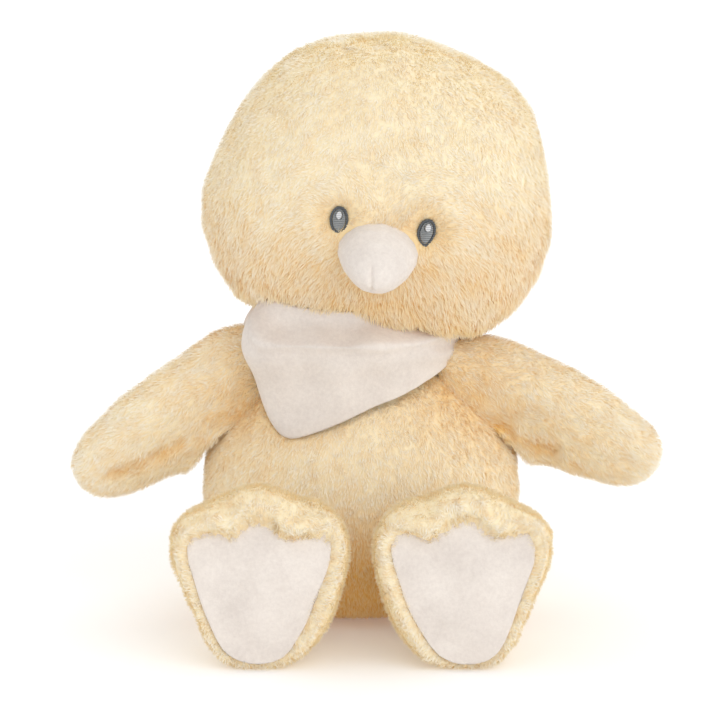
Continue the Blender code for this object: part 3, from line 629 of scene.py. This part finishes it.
# soft dents in the bandana's front: x, z, reach and depth
BANDANA_DENTS = (
    (-0.034, 0.146, 0.010, 0.0019),
    (-0.014, 0.143, 0.010, 0.0016),
    (-0.030, 0.127, 0.010, 0.0022),
    (-0.048, 0.136, 0.008, -0.0014),
    (0.012, 0.134, 0.012, -0.0012),
)

BEAK = np.array(middle_of("beak_cover"))
EYES = [np.array(middle_of(f"{side}_eye_outline")) for side in SIDES]
HEAD_MIDDLE = np.array(middle_of("head_stuffing"))
BODY_MIDDLE = np.array(middle_of("body_stuffing"))


def head_comb(points):
    """Down the head, and outward from the beak and the eyes where it is near them"""
    comb = 0.9 * DOWN + 0.25 * away(points, HEAD_MIDDLE)
    comb = comb + (2.2 * nearness(points, BEAK, 45 * MM))[:, None] * away(points, BEAK)
    for eye in EYES:
        comb = comb + (8.0 * nearness(points, eye, 10 * MM))[:, None] * away(points, eye)
    return comb


def head_length(points):
    """Short over the crown, long at the cheeks and chin, shorter again at the eyes"""
    low = np.clip((HEAD_MIDDLE[2] + 10 * MM - points[:, 2]) / (60 * MM), 0, 1)
    length = 3.2 * MM + 2.2 * MM * low
    for eye in EYES:
        length = length * (1 - 0.45 * nearness(points, eye, 8 * MM))
    for x, z in CHIN_TUFTS:
        length = length + 3 * MM * nearness_from_front(points, x, z, 4 * MM)
    return length


def head_tone(points):
    """Pale over the crown; golden at the cheeks, chin and round the beak, partly the pile's golden
    roots and partly painted shade under the head; painted golden shade in the dimples round the eyes
    """
    low = np.clip((HEAD_MIDDLE[2] + 5 * MM - points[:, 2]) / (70 * MM), 0, 1)
    # golden low down and under the beak: partly the pile's roots, partly painted shade
    tone = 0.92 - 0.54 * low - 0.30 * nearness(points, BEAK - [0, 0, 14 * MM], 26 * MM)
    for eye in EYES:
        # painted golden shade in the dimple round each eye
        tone = tone - 0.35 * nearness(points, eye, 9 * MM)
    return tone + (0.05 + 0.08 * low) * ripple(points, 16 * MM, 71)


def body_comb(points):
    """Down the body and a little outward"""
    return DOWN + 0.5 * away(points, BODY_MIDDLE)


def body_tone(points):
    """Painted golden shade low down in front, between the legs, with soft patches"""
    low = np.clip((66 * MM - points[:, 2]) / (44 * MM), 0, 1)
    front = eased(MIDDLE.y - points[:, 1], 0, 30 * MM)
    return 0.90 - 1.05 * low * front + 0.06 * ripple(points, 12 * MM, 72)


def painted_shade_beside(tone, tree, reach, strength):
    """A tone made more golden near the faces of a tree, as painted shade in the gap beside them"""
    def shaded(points):
        return tone(points) - strength * bump(gaps_to(tree, points), 0, reach)
    return shaded


def painted_shade_by(tone, spots, reach, strength):
    """A tone made more golden near some spots, as painted shade there"""
    def shaded(points):
        return tone(points) - strength * sum(nearness(points, spot, reach) for spot in spots)
    return shaded


def combed_from(spot, drop=0.3):
    """Fur that lies away from a spot, and a little downward"""
    return lambda points: away(points, spot) + drop * DOWN


def mottled(level, seed, size=12 * MM):
    """An even tone with soft patches"""
    return lambda points: level + 0.10 * ripple(points, size, seed)


HEAD_LOOK = {
    "count": 58000,
    "length": head_length,
    "comb": head_comb,
    "tousle": 0.25,
    "lock": 18 * MM,
    "lay": 0.90,
    "gathering": 0.35,
    "per_clump": 10,
    "width": 0.32 * MM,
    "uneven": 0.06,
    "tone": head_tone,
    "margin": 1.3 * MM,
}

BODY_LOOK = {
    "count": 56000,
    "length": steady(3.1 * MM),
    "comb": body_comb,
    "tousle": 0.22,
    "lock": 9 * MM,
    "lay": 0.91,
    "gathering": 0.30,
    "per_clump": 8,
    "width": 0.32 * MM,
    "uneven": 0.10,
    "tone": body_tone,
}


def back_of(look, count):
    """The same look with fewer blades, for the side turned away"""
    return {**look, "count": count}


def wing_look(side):
    """Long fur that lies towards the wing's tip"""
    root = np.array(middle_of(f"{side}_wing_root"))
    inside = root + 45 * MM * unit(np.array((BODY_MIDDLE[0] - root[0], 0, 0))) - 25 * MM * DOWN
    return {
        "count": 13000,
        "length": steady(3.8 * MM),
        "comb": combed_from(inside, 0.1),
        "tousle": 0.30,
        "lock": 15 * MM,
        "lay": 0.92,
        "gathering": 0.30,
        "per_clump": 12,
        "width": 0.32 * MM,
        "uneven": 0.12,
        "tone": mottled(0.88, 73),
    }


def foot_comb(middle):
    """Forward and outward round the foot, but down over the sole's top edge"""
    behind = middle + [0, 60 * MM, 0]
    def comb(points):
        front = eased(-points[:, 1], 2 * MM - middle[1], 8 * MM - middle[1])
        top = front * eased(points[:, 2], middle[2] + 10 * MM, middle[2] + 25 * MM)
        return away(points, behind) + (1.3 * top)[:, None] * DOWN
    return comb


def leg_look(side):
    """Shorter fur that turns forward over the rim of the sole"""
    return {
        "count": 30000,
        "length": steady(3.4 * MM),
        "comb": foot_comb(np.array(middle_of(f"{side}_sole_patch"))),
        "tousle": 0.18,
        "lock": 10 * MM,
        "lay": 0.92,
        "gathering": 0.25,
        "per_clump": 12,
        "width": 0.32 * MM,
        "uneven": 0.07,
        "tone": mottled(0.90, 74, 9 * MM),
        "clearance": 3 * MM,
        "margin": 0.25 * MM,
    }


# the gathered ends in the joints are all gold: painted shade for the slits between the parts
ROOT_LOOK = {
    "count": 1500,
    "length": steady(4.0 * MM),
    "comb": combed_from(BODY_MIDDLE, 0.2),
    "tousle": 0.4,
    "lock": 8 * MM,
    "lay": 0.75,
    "gathering": 0.4,
    "per_clump": 10,
    "width": 0.6 * MM,
    "uneven": 0.10,
    "tone": steady(0.35),
}

TAIL_LOOK = {
    "count": 2600,
    "length": steady(4.2 * MM),
    "comb": combed_from(BODY_MIDDLE, 0.1),
    "tousle": 0.3,
    "lock": 12 * MM,
    "lay": 0.90,
    "gathering": 0.3,
    "per_clump": 10,
    "width": 0.32 * MM,
    "uneven": 0.08,
    "tone": steady(0.88),
}


# Pieces


def pinched_face(surface):
    """The face raised a little all round each eye, which then lies in a dimple"""
    for eye in EYES:
        gap = np.linalg.norm(surface.points - eye, axis=1)
        surface.swell(1.8 * MM * bump(gap, 13 * MM, 6 * MM))


def full_chin(surface):
    """The chin sagging a little on to the bandana"""
    points, normals = surface.points, surface.normals()
    low = eased(HEAD_MIDDLE[2] - points[:, 2], 38 * MM, 60 * MM)
    front = eased(MIDDLE.y - points[:, 1], -5 * MM, 25 * MM)
    middle = np.exp(-(((points[:, 0] - HEAD_MIDDLE[0]) / (54 * MM)) ** 4))
    sag = 3.2 * MM * low * front * middle * (1 + 0.4 * ripple(points, 22 * MM, 95))
    surface.points = points + np.outer(sag, DOWN) + normals * (0.3 * sag)[:, None]


def make_head(fur):
    """Fur of the face and of the back of the head"""
    names = ["head_front_panel", "head_back_panel"]
    neck = middle_of("neck_sleeve")
    surface = wrapped(names, bridged=[(BEAK, 29 * MM), (neck, 30 * MM)], rounds=16)
    pinched_face(surface)
    full_chin(surface)
    covers = tree_of(["beak_cover", "left_eye_outline", "right_eye_outline"])
    front = fur_piece("head_front_fur", surface, 0, HEAD_LOOK, covers, 11)
    back = fur_piece("head_back_fur", surface, 1, back_of(HEAD_LOOK, 36000), None, 12)
    finish_piece(front, fur, "head", names[:1])
    finish_piece(back, fur, "head", names[1:])


def risen_beside(surface, cloth):
    """The fur swelling up along the edge of a cloth that lies on it"""
    gap = gaps_to(cloth, surface.points)
    normals = surface.normals()
    beside = np.nonzero(gap < 14 * MM)[0]
    free = visible(surface.points[beside], normals[beside], cloth, 12 * MM, 0.1 * MM)
    rise = np.zeros(len(gap))
    rise[beside] = 1.5 * MM * bump(gap[beside], 0, 6 * MM) * free
    surface.swell(rise)


def full_sides(surface):
    """The body a little fuller under the wings"""
    for side in (-1, 1):
        spot = (MIDDLE.x + side * 74 * MM, MIDDLE.y - 6 * MM, 84 * MM)
        surface.swell(2.5 * MM * nearness(surface.points, spot, 22 * MM))


def make_body(fur, bandana):
    """Fur of the belly and the back"""
    names = ["body_front_panel", "body_back_panel"]
    roots = [middle_of(f"{side}_{limb}_root") for side in SIDES for limb in ("wing", "leg")]
    bridged = [(spot, 19 * MM) for spot in roots] + [(middle_of("neck_sleeve"), 27 * MM)]
    surface = wrapped(names, bridged=bridged, rounds=16)
    full_sides(surface)
    risen_beside(surface, bandana)
    shoulders = [middle_of(f"{side}_wing_root") for side in SIDES]
    # painted golden shade along the bandana's edge and in the armpits under the wings
    tone = painted_shade_by(painted_shade_beside(body_tone, bandana, 4 * MM, 0.3), shoulders, 40 * MM, 0.75)
    look = {**BODY_LOOK, "tone": tone}
    front = fur_piece("body_front_fur", surface, 0, look, bandana, 21)
    back = fur_piece("body_back_fur", surface, 1, back_of(look, 34000), bandana, 22)
    finish_piece(front, fur, "torso", names[:1])
    finish_piece(back, fur, "torso", names[1:])


def full_shoulder(surface, root, hump_height):
    """The wing's inner end filled out until it meets the body"""
    inward = unit(np.array((BODY_MIDDLE[0] - root[0], 0, 0)))
    along = (surface.points - np.array(root)) @ inward
    share = eased(along, -24 * MM, -2 * MM)[:, None]
    normals = surface.normals()
    swell = normals * (3.5 * MM, 1.5 * MM, 3.5 * MM)
    surface.points = surface.points + share * (13 * MM * inward + swell)
    hump = bump(along, -20 * MM, 17 * MM)
    crown = bump(along, -52 * MM, 26 * MM)
    rise = (hump_height * hump + 4 * MM * crown) * np.clip(normals[:, 2], 0, 1)
    surface.points = surface.points - np.outer(rise, DOWN)
    under = eased(along, -48 * MM, -16 * MM) * np.clip(-normals[:, 2], 0, 1)
    surface.points = surface.points + np.outer(13 * MM * under, DOWN)


def beside_line(points, start, end):
    """How far the points lie from a line seen from the front, for points on the front side"""
    flat = points[:, ::2]
    start, end = np.array(start)[::2], np.array(end)[::2]
    along = end - start
    share = np.clip((flat - start) @ along / (along @ along), 0, 1)
    return np.linalg.norm(flat - start - share[:, None] * along, axis=1)


def creased(surface, look, root, start, end):
    """A pinched seam across the front of the wing, with painted golden shade along it where the pile
    parts
    """
    tone = look["tone"]

    def close(points, width):
        wobble = 2.4 * MM * ripple(points, 24 * MM, 94)
        return bump(beside_line(points, start, end) + wobble, 0, width)

    def shaded(points):
        return tone(points) - 0.45 * close(points, 3.6 * MM) * (points[:, 1] < root[1])

    dip = 1.5 * MM * close(surface.points, 3.2 * MM) * (surface.normals()[:, 1] < 0.2)
    surface.swell(-dip)
    look["tone"] = shaded


def make_wing(side, fur, bandana):
    """Fur of the wing's upper and under panels"""
    names = [f"{side}_wing_upper_panel", f"{side}_wing_under_panel"]
    root = middle_of(f"{side}_wing_root")
    surface = wrapped(names, bridged=[(root, 17 * MM)], rounds=14)
    full_shoulder(surface, root, WING_HUMPS[side])
    look = wing_look(side)
    armpit = root + Vector((0, -8 * MM, -22 * MM))
    # painted golden shade in the armpit and at the wing's root
    look["tone"] = painted_shade_by(look["tone"], [armpit, root], 26 * MM, 0.4)
    creased(surface, look, root, *WING_CREASES[side])
    for place, part in enumerate(("upper", "under")):
        name = f"{side}_wing_{part}_fur"
        piece = fur_piece(name, surface, place, look, bandana, 31 + place)
        finish_piece(piece, fur, f"{side}_wing", [names[place]])


def puffed_rim(surface, sole, middle):
    """The cover rolled outward and puckered where the sole is sewn in"""
    gap = gaps_to(sole, surface.points)
    rim = bump(gap, 5 * MM, 5 * MM) * eased(gap, 0, 2.0 * MM)
    wave = 1 + 0.25 * ripple(surface.points, 18 * MM, 91)
    top = eased(surface.points[:, 2], middle[2] + 12 * MM, middle[2] + 30 * MM)
    surface.swell((1.6 + 1.6 * top) * MM * rim * wave)
    edge = bump(gap, 2 * MM, 3.5 * MM)
    fold = 1 + 0.25 * ripple(surface.points, 20 * MM, 93)
    surface.points = surface.points + np.outer(edge * top * fold, (0, -2.4 * MM, -1.0 * MM))


def make_leg(side, fur):
    """Fur of the leg and foot"""
    names = [f"{side}_leg_cover", f"{side}_leg_stuffing"]
    sole = middle_of(f"{side}_sole_patch")
    centre = sole + Vector((0, 24 * MM, 0))
    root = middle_of(f"{side}_leg_root")
    surface = wrapped(names, centre=centre, bridged=[(root, 20 * MM)], rounds=14)
    surface.owners[:] = 0
    covers = tree_of([f"{side}_sole_patch"])
    puffed_rim(surface, covers, sole)
    look = leg_look(side)
    # painted golden shade in the seam round the sole
    look["tone"] = painted_shade_beside(look["tone"], covers, 1.4 * MM, 0.15)
    piece = fur_piece(f"{side}_leg_fur", surface, 0, look, covers, 41)
    finish_piece(piece, fur, f"{side}_leg", names[:1])


def make_roots(under):
    """The gathered ends in the shoulders, the hips and the neck, all gold as painted shade in the
    gaps between the parts
    """
    nodes = [f"{side}_{limb}_root" for side in SIDES for limb in ("wing", "leg")]
    for node in nodes + ["neck_sleeve"]:
        surface = wrapped([node], level=MIDDLING, rounds=4)
        if node == "neck_sleeve":
            surface.points = surface.points + NECK_WIDENING * surface.normals() * (1, 1, 0)
        piece = fur_piece(f"{node}_fur", surface, 0, ROOT_LOOK, None, 51)
        finish_piece(piece, under, f"{node}_body", [node])


def make_tail(fur):
    """Fur of the tail"""
    surface = wrapped(["tail_cover"], level=MIDDLING, rounds=8)
    piece = fur_piece("tail_fur", surface, 0, TAIL_LOOK, None, 61)
    finish_piece(piece, fur, "torso", ["tail_cover"])


def make_stuffing(fibre, cloth):
    """The fillings, which never show"""
    for body, nodes in frame["record"]["behaviour"]["bodies"].items():
        for node in nodes:
            if not node.endswith(("stuffing", "pouch")):
                continue
            surface = wrapped([node], level=PLAIN, rounds=2)
            piece = new_object(f"{node}_fill", surface.points, surface.triangles)
            pouch = node.endswith("pouch")
            material = cloth if pouch else fibre
            finish_piece(piece, material, body, [node])


def make_beak(velour):
    """The velour beak, with the short seam pinched into its tip"""
    surface = wrapped(["beak_cover"], rounds=16)
    facing = surface.normals()[:, 1] < -0.3
    across = surface.points[:, 0] - BEAK[0] - BEAK_SEAM_ASIDE
    rise = surface.points[:, 2]
    lower = np.clip((rise - BEAK_SEAM_LOW) / (3 * MM), 0, 1)
    along = lower * np.clip((BEAK_SEAM_HIGH - rise) / (4 * MM), 0, 1)
    groove = bump(across, 0, 0.9 * MM) * along * facing
    dimple = bump(across, 0, 4.5 * MM) * along * facing
    surface.swell(-(1.1 * MM * groove + 0.6 * MM * dimple))
    piece = new_object("beak_velour", surface.points, surface.triangles)
    finish_piece(piece, velour, "head", ["beak_cover"])


def make_soles(velour):
    """The velour soles"""
    for side in SIDES:
        node = f"{side}_sole_patch"
        surface = wrapped([node], rounds=10)
        surface.swell(ripple(surface.points, 26 * MM, 81) * 0.5 * MM)
        piece = new_object(f"{side}_sole_velour", surface.points, surface.triangles)
        finish_piece(piece, velour, f"{side}_leg", [node])


def degrees_from_front(angles):
    """Angles round the neck in degrees, from -180 to 180, with none at the front"""
    return (np.degrees(angles) + 180) % 360 - 180


def bandana_top(edge, degrees):
    """The cloth's top edge, which lies over the node's own to lie against the head"""
    corner = math.exp(-((degrees - BANDANA_CORNER_ANGLE) / 32) ** 2)
    top = edge + BANDANA_RISE + BANDANA_CORNER_RISE * corner
    return top + BANDANA_BACK_RISE * eased(abs(degrees), 110, 145)


def bandana_grid(turns, rows):
    """Points over the bandana node's outer side, angle by angle round the neck, and from its
    low edge up to the cloth's top edge: the axis, the angles, the heights and the reaches"""
    tree = tree_of(["bandana"])
    low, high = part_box("bandana")
    axis = np.array((MIDDLE.x, MIDDLE.y, 0))
    levels = np.arange(low.z - MM, high.z + MM, 0.4 * MM)
    angles = 2 * math.pi * np.arange(turns) / turns
    heights = np.zeros((turns, rows))
    reaches = np.zeros((turns, rows))
    for i, (angle, degrees) in enumerate(zip(angles, degrees_from_front(angles))):
        heading = Vector((math.sin(angle), -math.cos(angle), 0))
        hits = []
        for level in levels:
            start = Vector(axis) + heading * FAR + Vector((0, 0, level))
            spot = tree.ray_cast(start, -heading, FAR)[0]
            if spot is not None:
                hits.append((spot.z, (spot - Vector(axis)).xy.length))
        rise, reach = np.array(hits).T
        heights[i] = np.linspace(rise[0], bandana_top(rise[-1], degrees), rows)
        reaches[i] = np.interp(heights[i], rise, reach)
    return axis, angles, heights, reaches


def round_mean(values, rounds):
    """Values evened out along and across the strip, its edges only along it"""
    for _ in range(rounds):
        along = (np.roll(values, 1, axis=0) + np.roll(values, -1, axis=0)) / 2
        across = along.copy()
        across[:, 1:-1] = (values[:, :-2] + values[:, 2:]) / 2
        values = 0.5 * values + 0.25 * along + 0.25 * across
    return values


def bulged(degrees, heights):
    """How far the cloth stands out at its two upper corners"""
    out = BANDANA_LEFT_BULGE * eased(heights, 105 * MM, 140 * MM)
    back = BANDANA_LEFT_RETURN * eased(heights, 144 * MM, 164 * MM)
    left = bump(degrees, -80, 34) * (out - back)
    high = eased(heights, 116 * MM, 136 * MM)
    return left + BANDANA_RIGHT_BULGE * bump(degrees, 86, 22) * high


def folded(degrees, heights):
    """How far the cloth stands out at the lip of its fold, and how far it is tucked in above"""
    fold = BANDANA_FOLD + BANDANA_FOLD_RISE * eased(-degrees, 42, 62)
    front = eased(degrees, -62, -42) * (1 - eased(degrees, 78, 95))
    lip = BANDANA_LIP * front * bump(heights - fold, -2 * MM, 2.6 * MM)
    tuck = BANDANA_TUCK * front * eased(heights, fold - 0.5 * MM, fold + 8 * MM)
    return lip, tuck


def draped(angles, heights, reaches):
    """The cloth's reach once it bulges, folds in along its top and leans in at the back"""
    degrees = degrees_from_front(angles)[:, None]
    lip, tuck = folded(degrees, heights)
    behind = eased(np.abs(degrees), 105, 140)
    rise = (heights - heights[:, :1]) / np.ptp(heights, axis=1)[:, None]
    lean = BANDANA_BACK_LEAN * behind * rise
    return reaches + bulged(degrees, heights) + lip - tuck - lean


def ring_triangles(turns, rows):
    """The triangles of a strip of points that closes on itself"""
    index = np.arange(turns * rows).reshape(turns, rows)
    here, above = index[:, :-1], index[:, 1:]
    there, across = np.roll(here, -1, axis=0), np.roll(above, -1, axis=0)
    return np.concatenate((
        np.stack((here, there, across), axis=-1).reshape(-1, 3),
        np.stack((here, across, above), axis=-1).reshape(-1, 3),
    ))


def bandana_surface():
    """The outer side of the bandana: a fine strip of cloth round the neck, with its folded top"""
    turns, rows = 300, 44
    axis, angles, heights, reaches = bandana_grid(turns, rows)
    heights = round_mean(heights, 4)
    reaches = draped(angles, heights, round_mean(reaches, 25))
    x = axis[0] + np.sin(angles)[:, None] * reaches
    y = axis[1] - np.cos(angles)[:, None] * reaches
    grid = np.stack((x, y, heights), axis=2)
    triangles = ring_triangles(turns, rows)
    surface = Surface(grid.reshape(-1, 3), triangles, np.zeros(len(triangles), int))
    wave = ripple(surface.points, 32 * MM, 92) * 0.45 * MM
    for x, z, reach, depth in BANDANA_DENTS:
        wave = wave - depth * nearness_from_front(surface.points, x, z, reach)
    surface.swell(wave)
    surface.smooth(3)
    return surface


def make_bandana(surface, velour):
    """The bandana's cloth"""
    points, faces = shell_arrays(surface, 0, 0, BANDANA_THICKNESS)
    piece = new_object("bandana_velour", points, faces)
    finish_piece(piece, velour, "torso", ["bandana"])
    area = surface.areas().sum()


def pointed(points, node):
    """The low end of a thread colour drawn towards the point of its eye"""
    low, high = (np.array(corner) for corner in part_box(node))
    middle = (low + high) / 2
    share = np.clip((middle[2] - points[:, 2]) / (middle[2] - low[2]), 0, 1) ** 2
    points[:, 0] = middle[0] + (points[:, 0] - middle[0]) * (1 - 0.38 * share)
    points[:, 2] = points[:, 2] - 0.6 * MM * share
    return points


def fine_copy(name, node):
    """A copy of a CAD node with a fine, even mesh"""
    piece = frame["nodes"][node].copy()
    piece.data = piece.data.copy()
    piece.name = name
    for key in list(piece.keys()):
        del piece[key]
    piece.parent = None
    piece.data.materials.clear()
    piece.hide_render = False
    piece.hide_viewport = False
    bpy.context.scene.collection.objects.link(piece)
    remesh = piece.modifiers.new("fine", "REMESH")
    remesh.mode = "VOXEL"
    remesh.voxel_size = THREAD_GRAIN
    relax = piece.modifiers.new("relax", "SMOOTH")
    relax.iterations = 6
    graph = bpy.context.evaluated_depsgraph_get()
    fine = bpy.data.meshes.new_from_object(piece.evaluated_get(graph))
    piece.modifiers.clear()
    piece.data = fine
    return piece


def stitched(piece):
    """Satin stitch: threads that stand up side by side, with a little slant"""
    mesh = piece.data
    points = np.zeros(3 * len(mesh.vertices))
    normals = np.zeros(3 * len(mesh.vertices))
    mesh.vertices.foreach_get("co", points)
    mesh.vertex_normals.foreach_get("vector", normals)
    points, normals = points.reshape(-1, 3), normals.reshape(-1, 3)
    wave = np.cos(2 * math.pi * (points[:, 2] + 0.15 * points[:, 0]) / THREAD_PITCH)
    points = points + normals * (THREAD_HEIGHT * wave)[:, None]
    if piece.name.startswith("right"):
        points = pointed(points, "right_eye_outline")
    mesh.vertices.foreach_set("co", points.ravel())
    mesh.polygons.foreach_set("use_smooth", np.ones(len(mesh.polygons), bool))
    mesh.update()


def make_eyes():
    """Embroidered eyes: dark rim, grey fill and a light spot"""
    parts = (
        ("outline", DARK_THREAD, DARK_THREAD_SHADE, "dark_grey_thread"),
        ("fill", GREY_THREAD, GREY_THREAD_SHADE, "grey_thread"),
        ("highlight", SILVER_THREAD, SILVER_THREAD_SHADE, "silver_thread"),
    )
    for part, light, shade, slot in parts:
        material = thread_material(slot, light, shade)
        for side in SIDES:
            node = f"{side}_eye_{part}"
            piece = fine_copy(f"{node}_stitches", node)
            stitched(piece)
            finish_piece(piece, material, "head", [node])


# Camera, floor and light

CAMERA_RISE = math.radians(12)
CAMERA_DISTANCE = 1.5
CAMERA_LENS = 150
CAMERA_SENSOR = 36
CAMERA_ASIDE = -0.5 * MM

FLOOR_SIZE = 12
FLOOR_WHITE = (0.92, 0.92, 0.92)
FLOOR_GLOW = (1, 0.97, 0.95)
FLOOR_GLOW_STRENGTH = 0.14
WORLD_STRENGTH = 0.89


def make_camera():
    """A view from straight in front and a little above"""
    data = bpy.data.cameras.new("camera")
    camera = bpy.data.objects.new("camera", data)
    bpy.context.scene.collection.objects.link(camera)
    aim = MIDDLE + Vector((CAMERA_ASIDE, 0, 0))
    back = Vector((0, -math.cos(CAMERA_RISE), math.sin(CAMERA_RISE)))
    camera.location = aim + CAMERA_DISTANCE * back
    camera.rotation_euler = (math.pi / 2 - CAMERA_RISE, 0, 0)
    data.lens = CAMERA_LENS
    data.sensor_width = CAMERA_SENSOR
    data.clip_end = 20
    bpy.context.scene.camera = camera


def make_floor():
    """A white floor that keeps the toy's shadow"""
    bpy.ops.mesh.primitive_plane_add(size=FLOOR_SIZE, location=(0, 0, 0))
    floor = bpy.context.object
    floor.name = "floor"
    material = plain_material("floor_white", FLOOR_WHITE, roughness=1)
    shader = material.node_tree.nodes["Principled BSDF"]
    shader.inputs["Specular IOR Level"].default_value = 0
    shader.inputs["Emission Color"].default_value = (*FLOOR_GLOW, 1)
    shader.inputs["Emission Strength"].default_value = FLOOR_GLOW_STRENGTH
    floor.data.materials.append(material)


def make_world():
    """Even light all round, seen as white by the camera"""
    world = bpy.data.worlds.new("studio")
    bpy.context.scene.world = world
    world.use_nodes = True
    tree = world.node_tree
    tree.nodes.clear()
    output = tree.nodes.new("ShaderNodeOutputWorld")
    lit = tree.nodes.new("ShaderNodeBackground")
    lit.inputs["Strength"].default_value = WORLD_STRENGTH
    seen = tree.nodes.new("ShaderNodeBackground")
    seen.inputs["Strength"].default_value = 1.0
    for node in (lit, seen):
        node.inputs["Color"].default_value = (1, 1, 1, 1)
    path = tree.nodes.new("ShaderNodeLightPath")
    mix = tree.nodes.new("ShaderNodeMixShader")
    tree.links.new(path.outputs["Is Camera Ray"], mix.inputs["Fac"])
    tree.links.new(lit.outputs["Background"], mix.inputs[1])
    tree.links.new(seen.outputs["Background"], mix.inputs[2])
    tree.links.new(mix.outputs["Shader"], output.inputs["Surface"])


def make_lamp(name, place, power, spread):
    """Soft light from far off in one direction"""
    data = bpy.data.lights.new(name, "SUN")
    data.energy = power
    data.angle = math.radians(spread)
    lamp = bpy.data.objects.new(name, data)
    lamp.location = MIDDLE + Vector(place)
    lamp.rotation_euler = (-Vector(place)).to_track_quat("-Z", "Y").to_euler()
    bpy.context.scene.collection.objects.link(lamp)


def build():
    """Makes every piece, then the stage"""
    gold = (GOLD_ROOT, GOLD_MID, GOLD_TIP)
    fur = fur_material("butter_fur", (BUTTER_ROOT, BUTTER_MID, BUTTER_TIP), gold)
    # all gold: painted shade for the gathered ends in the joints
    under = fur_material("butter_fur_under", gold, gold)
    velour = velour_material("cream_velour", CREAM, CREAM_SHADE)
    fibre = plain_material("white_fibre", FIBRE_WHITE)
    pouch = plain_material("pouch_cloth", POUCH_CLOTH)
    cloth = bandana_surface()
    bandana = BVHTree.FromPolygons(cloth.points.tolist(), cloth.triangles.tolist())
    make_head(fur)
    make_body(fur, bandana)
    make_tail(fur)
    for side in SIDES:
        make_wing(side, fur, bandana)
        make_leg(side, fur)
    make_roots(under)
    make_stuffing(fibre, pouch)
    make_beak(velour)
    make_soles(velour)
    make_bandana(cloth, velour)
    make_eyes()
    make_camera()
    make_floor()
    make_world()
    make_lamp("key", place=(0.75, -1.0, 0.65), power=0.80, spread=60)
    make_lamp("top", place=(-0.2, 0.6, 1.0), power=0.35, spread=90)


build()
bpy.context.scene.view_settings.view_transform = "Standard"
bpy.context.scene.cycles.max_bounces = 16
bpy.context.scene.cycles.diffuse_bounces = 12
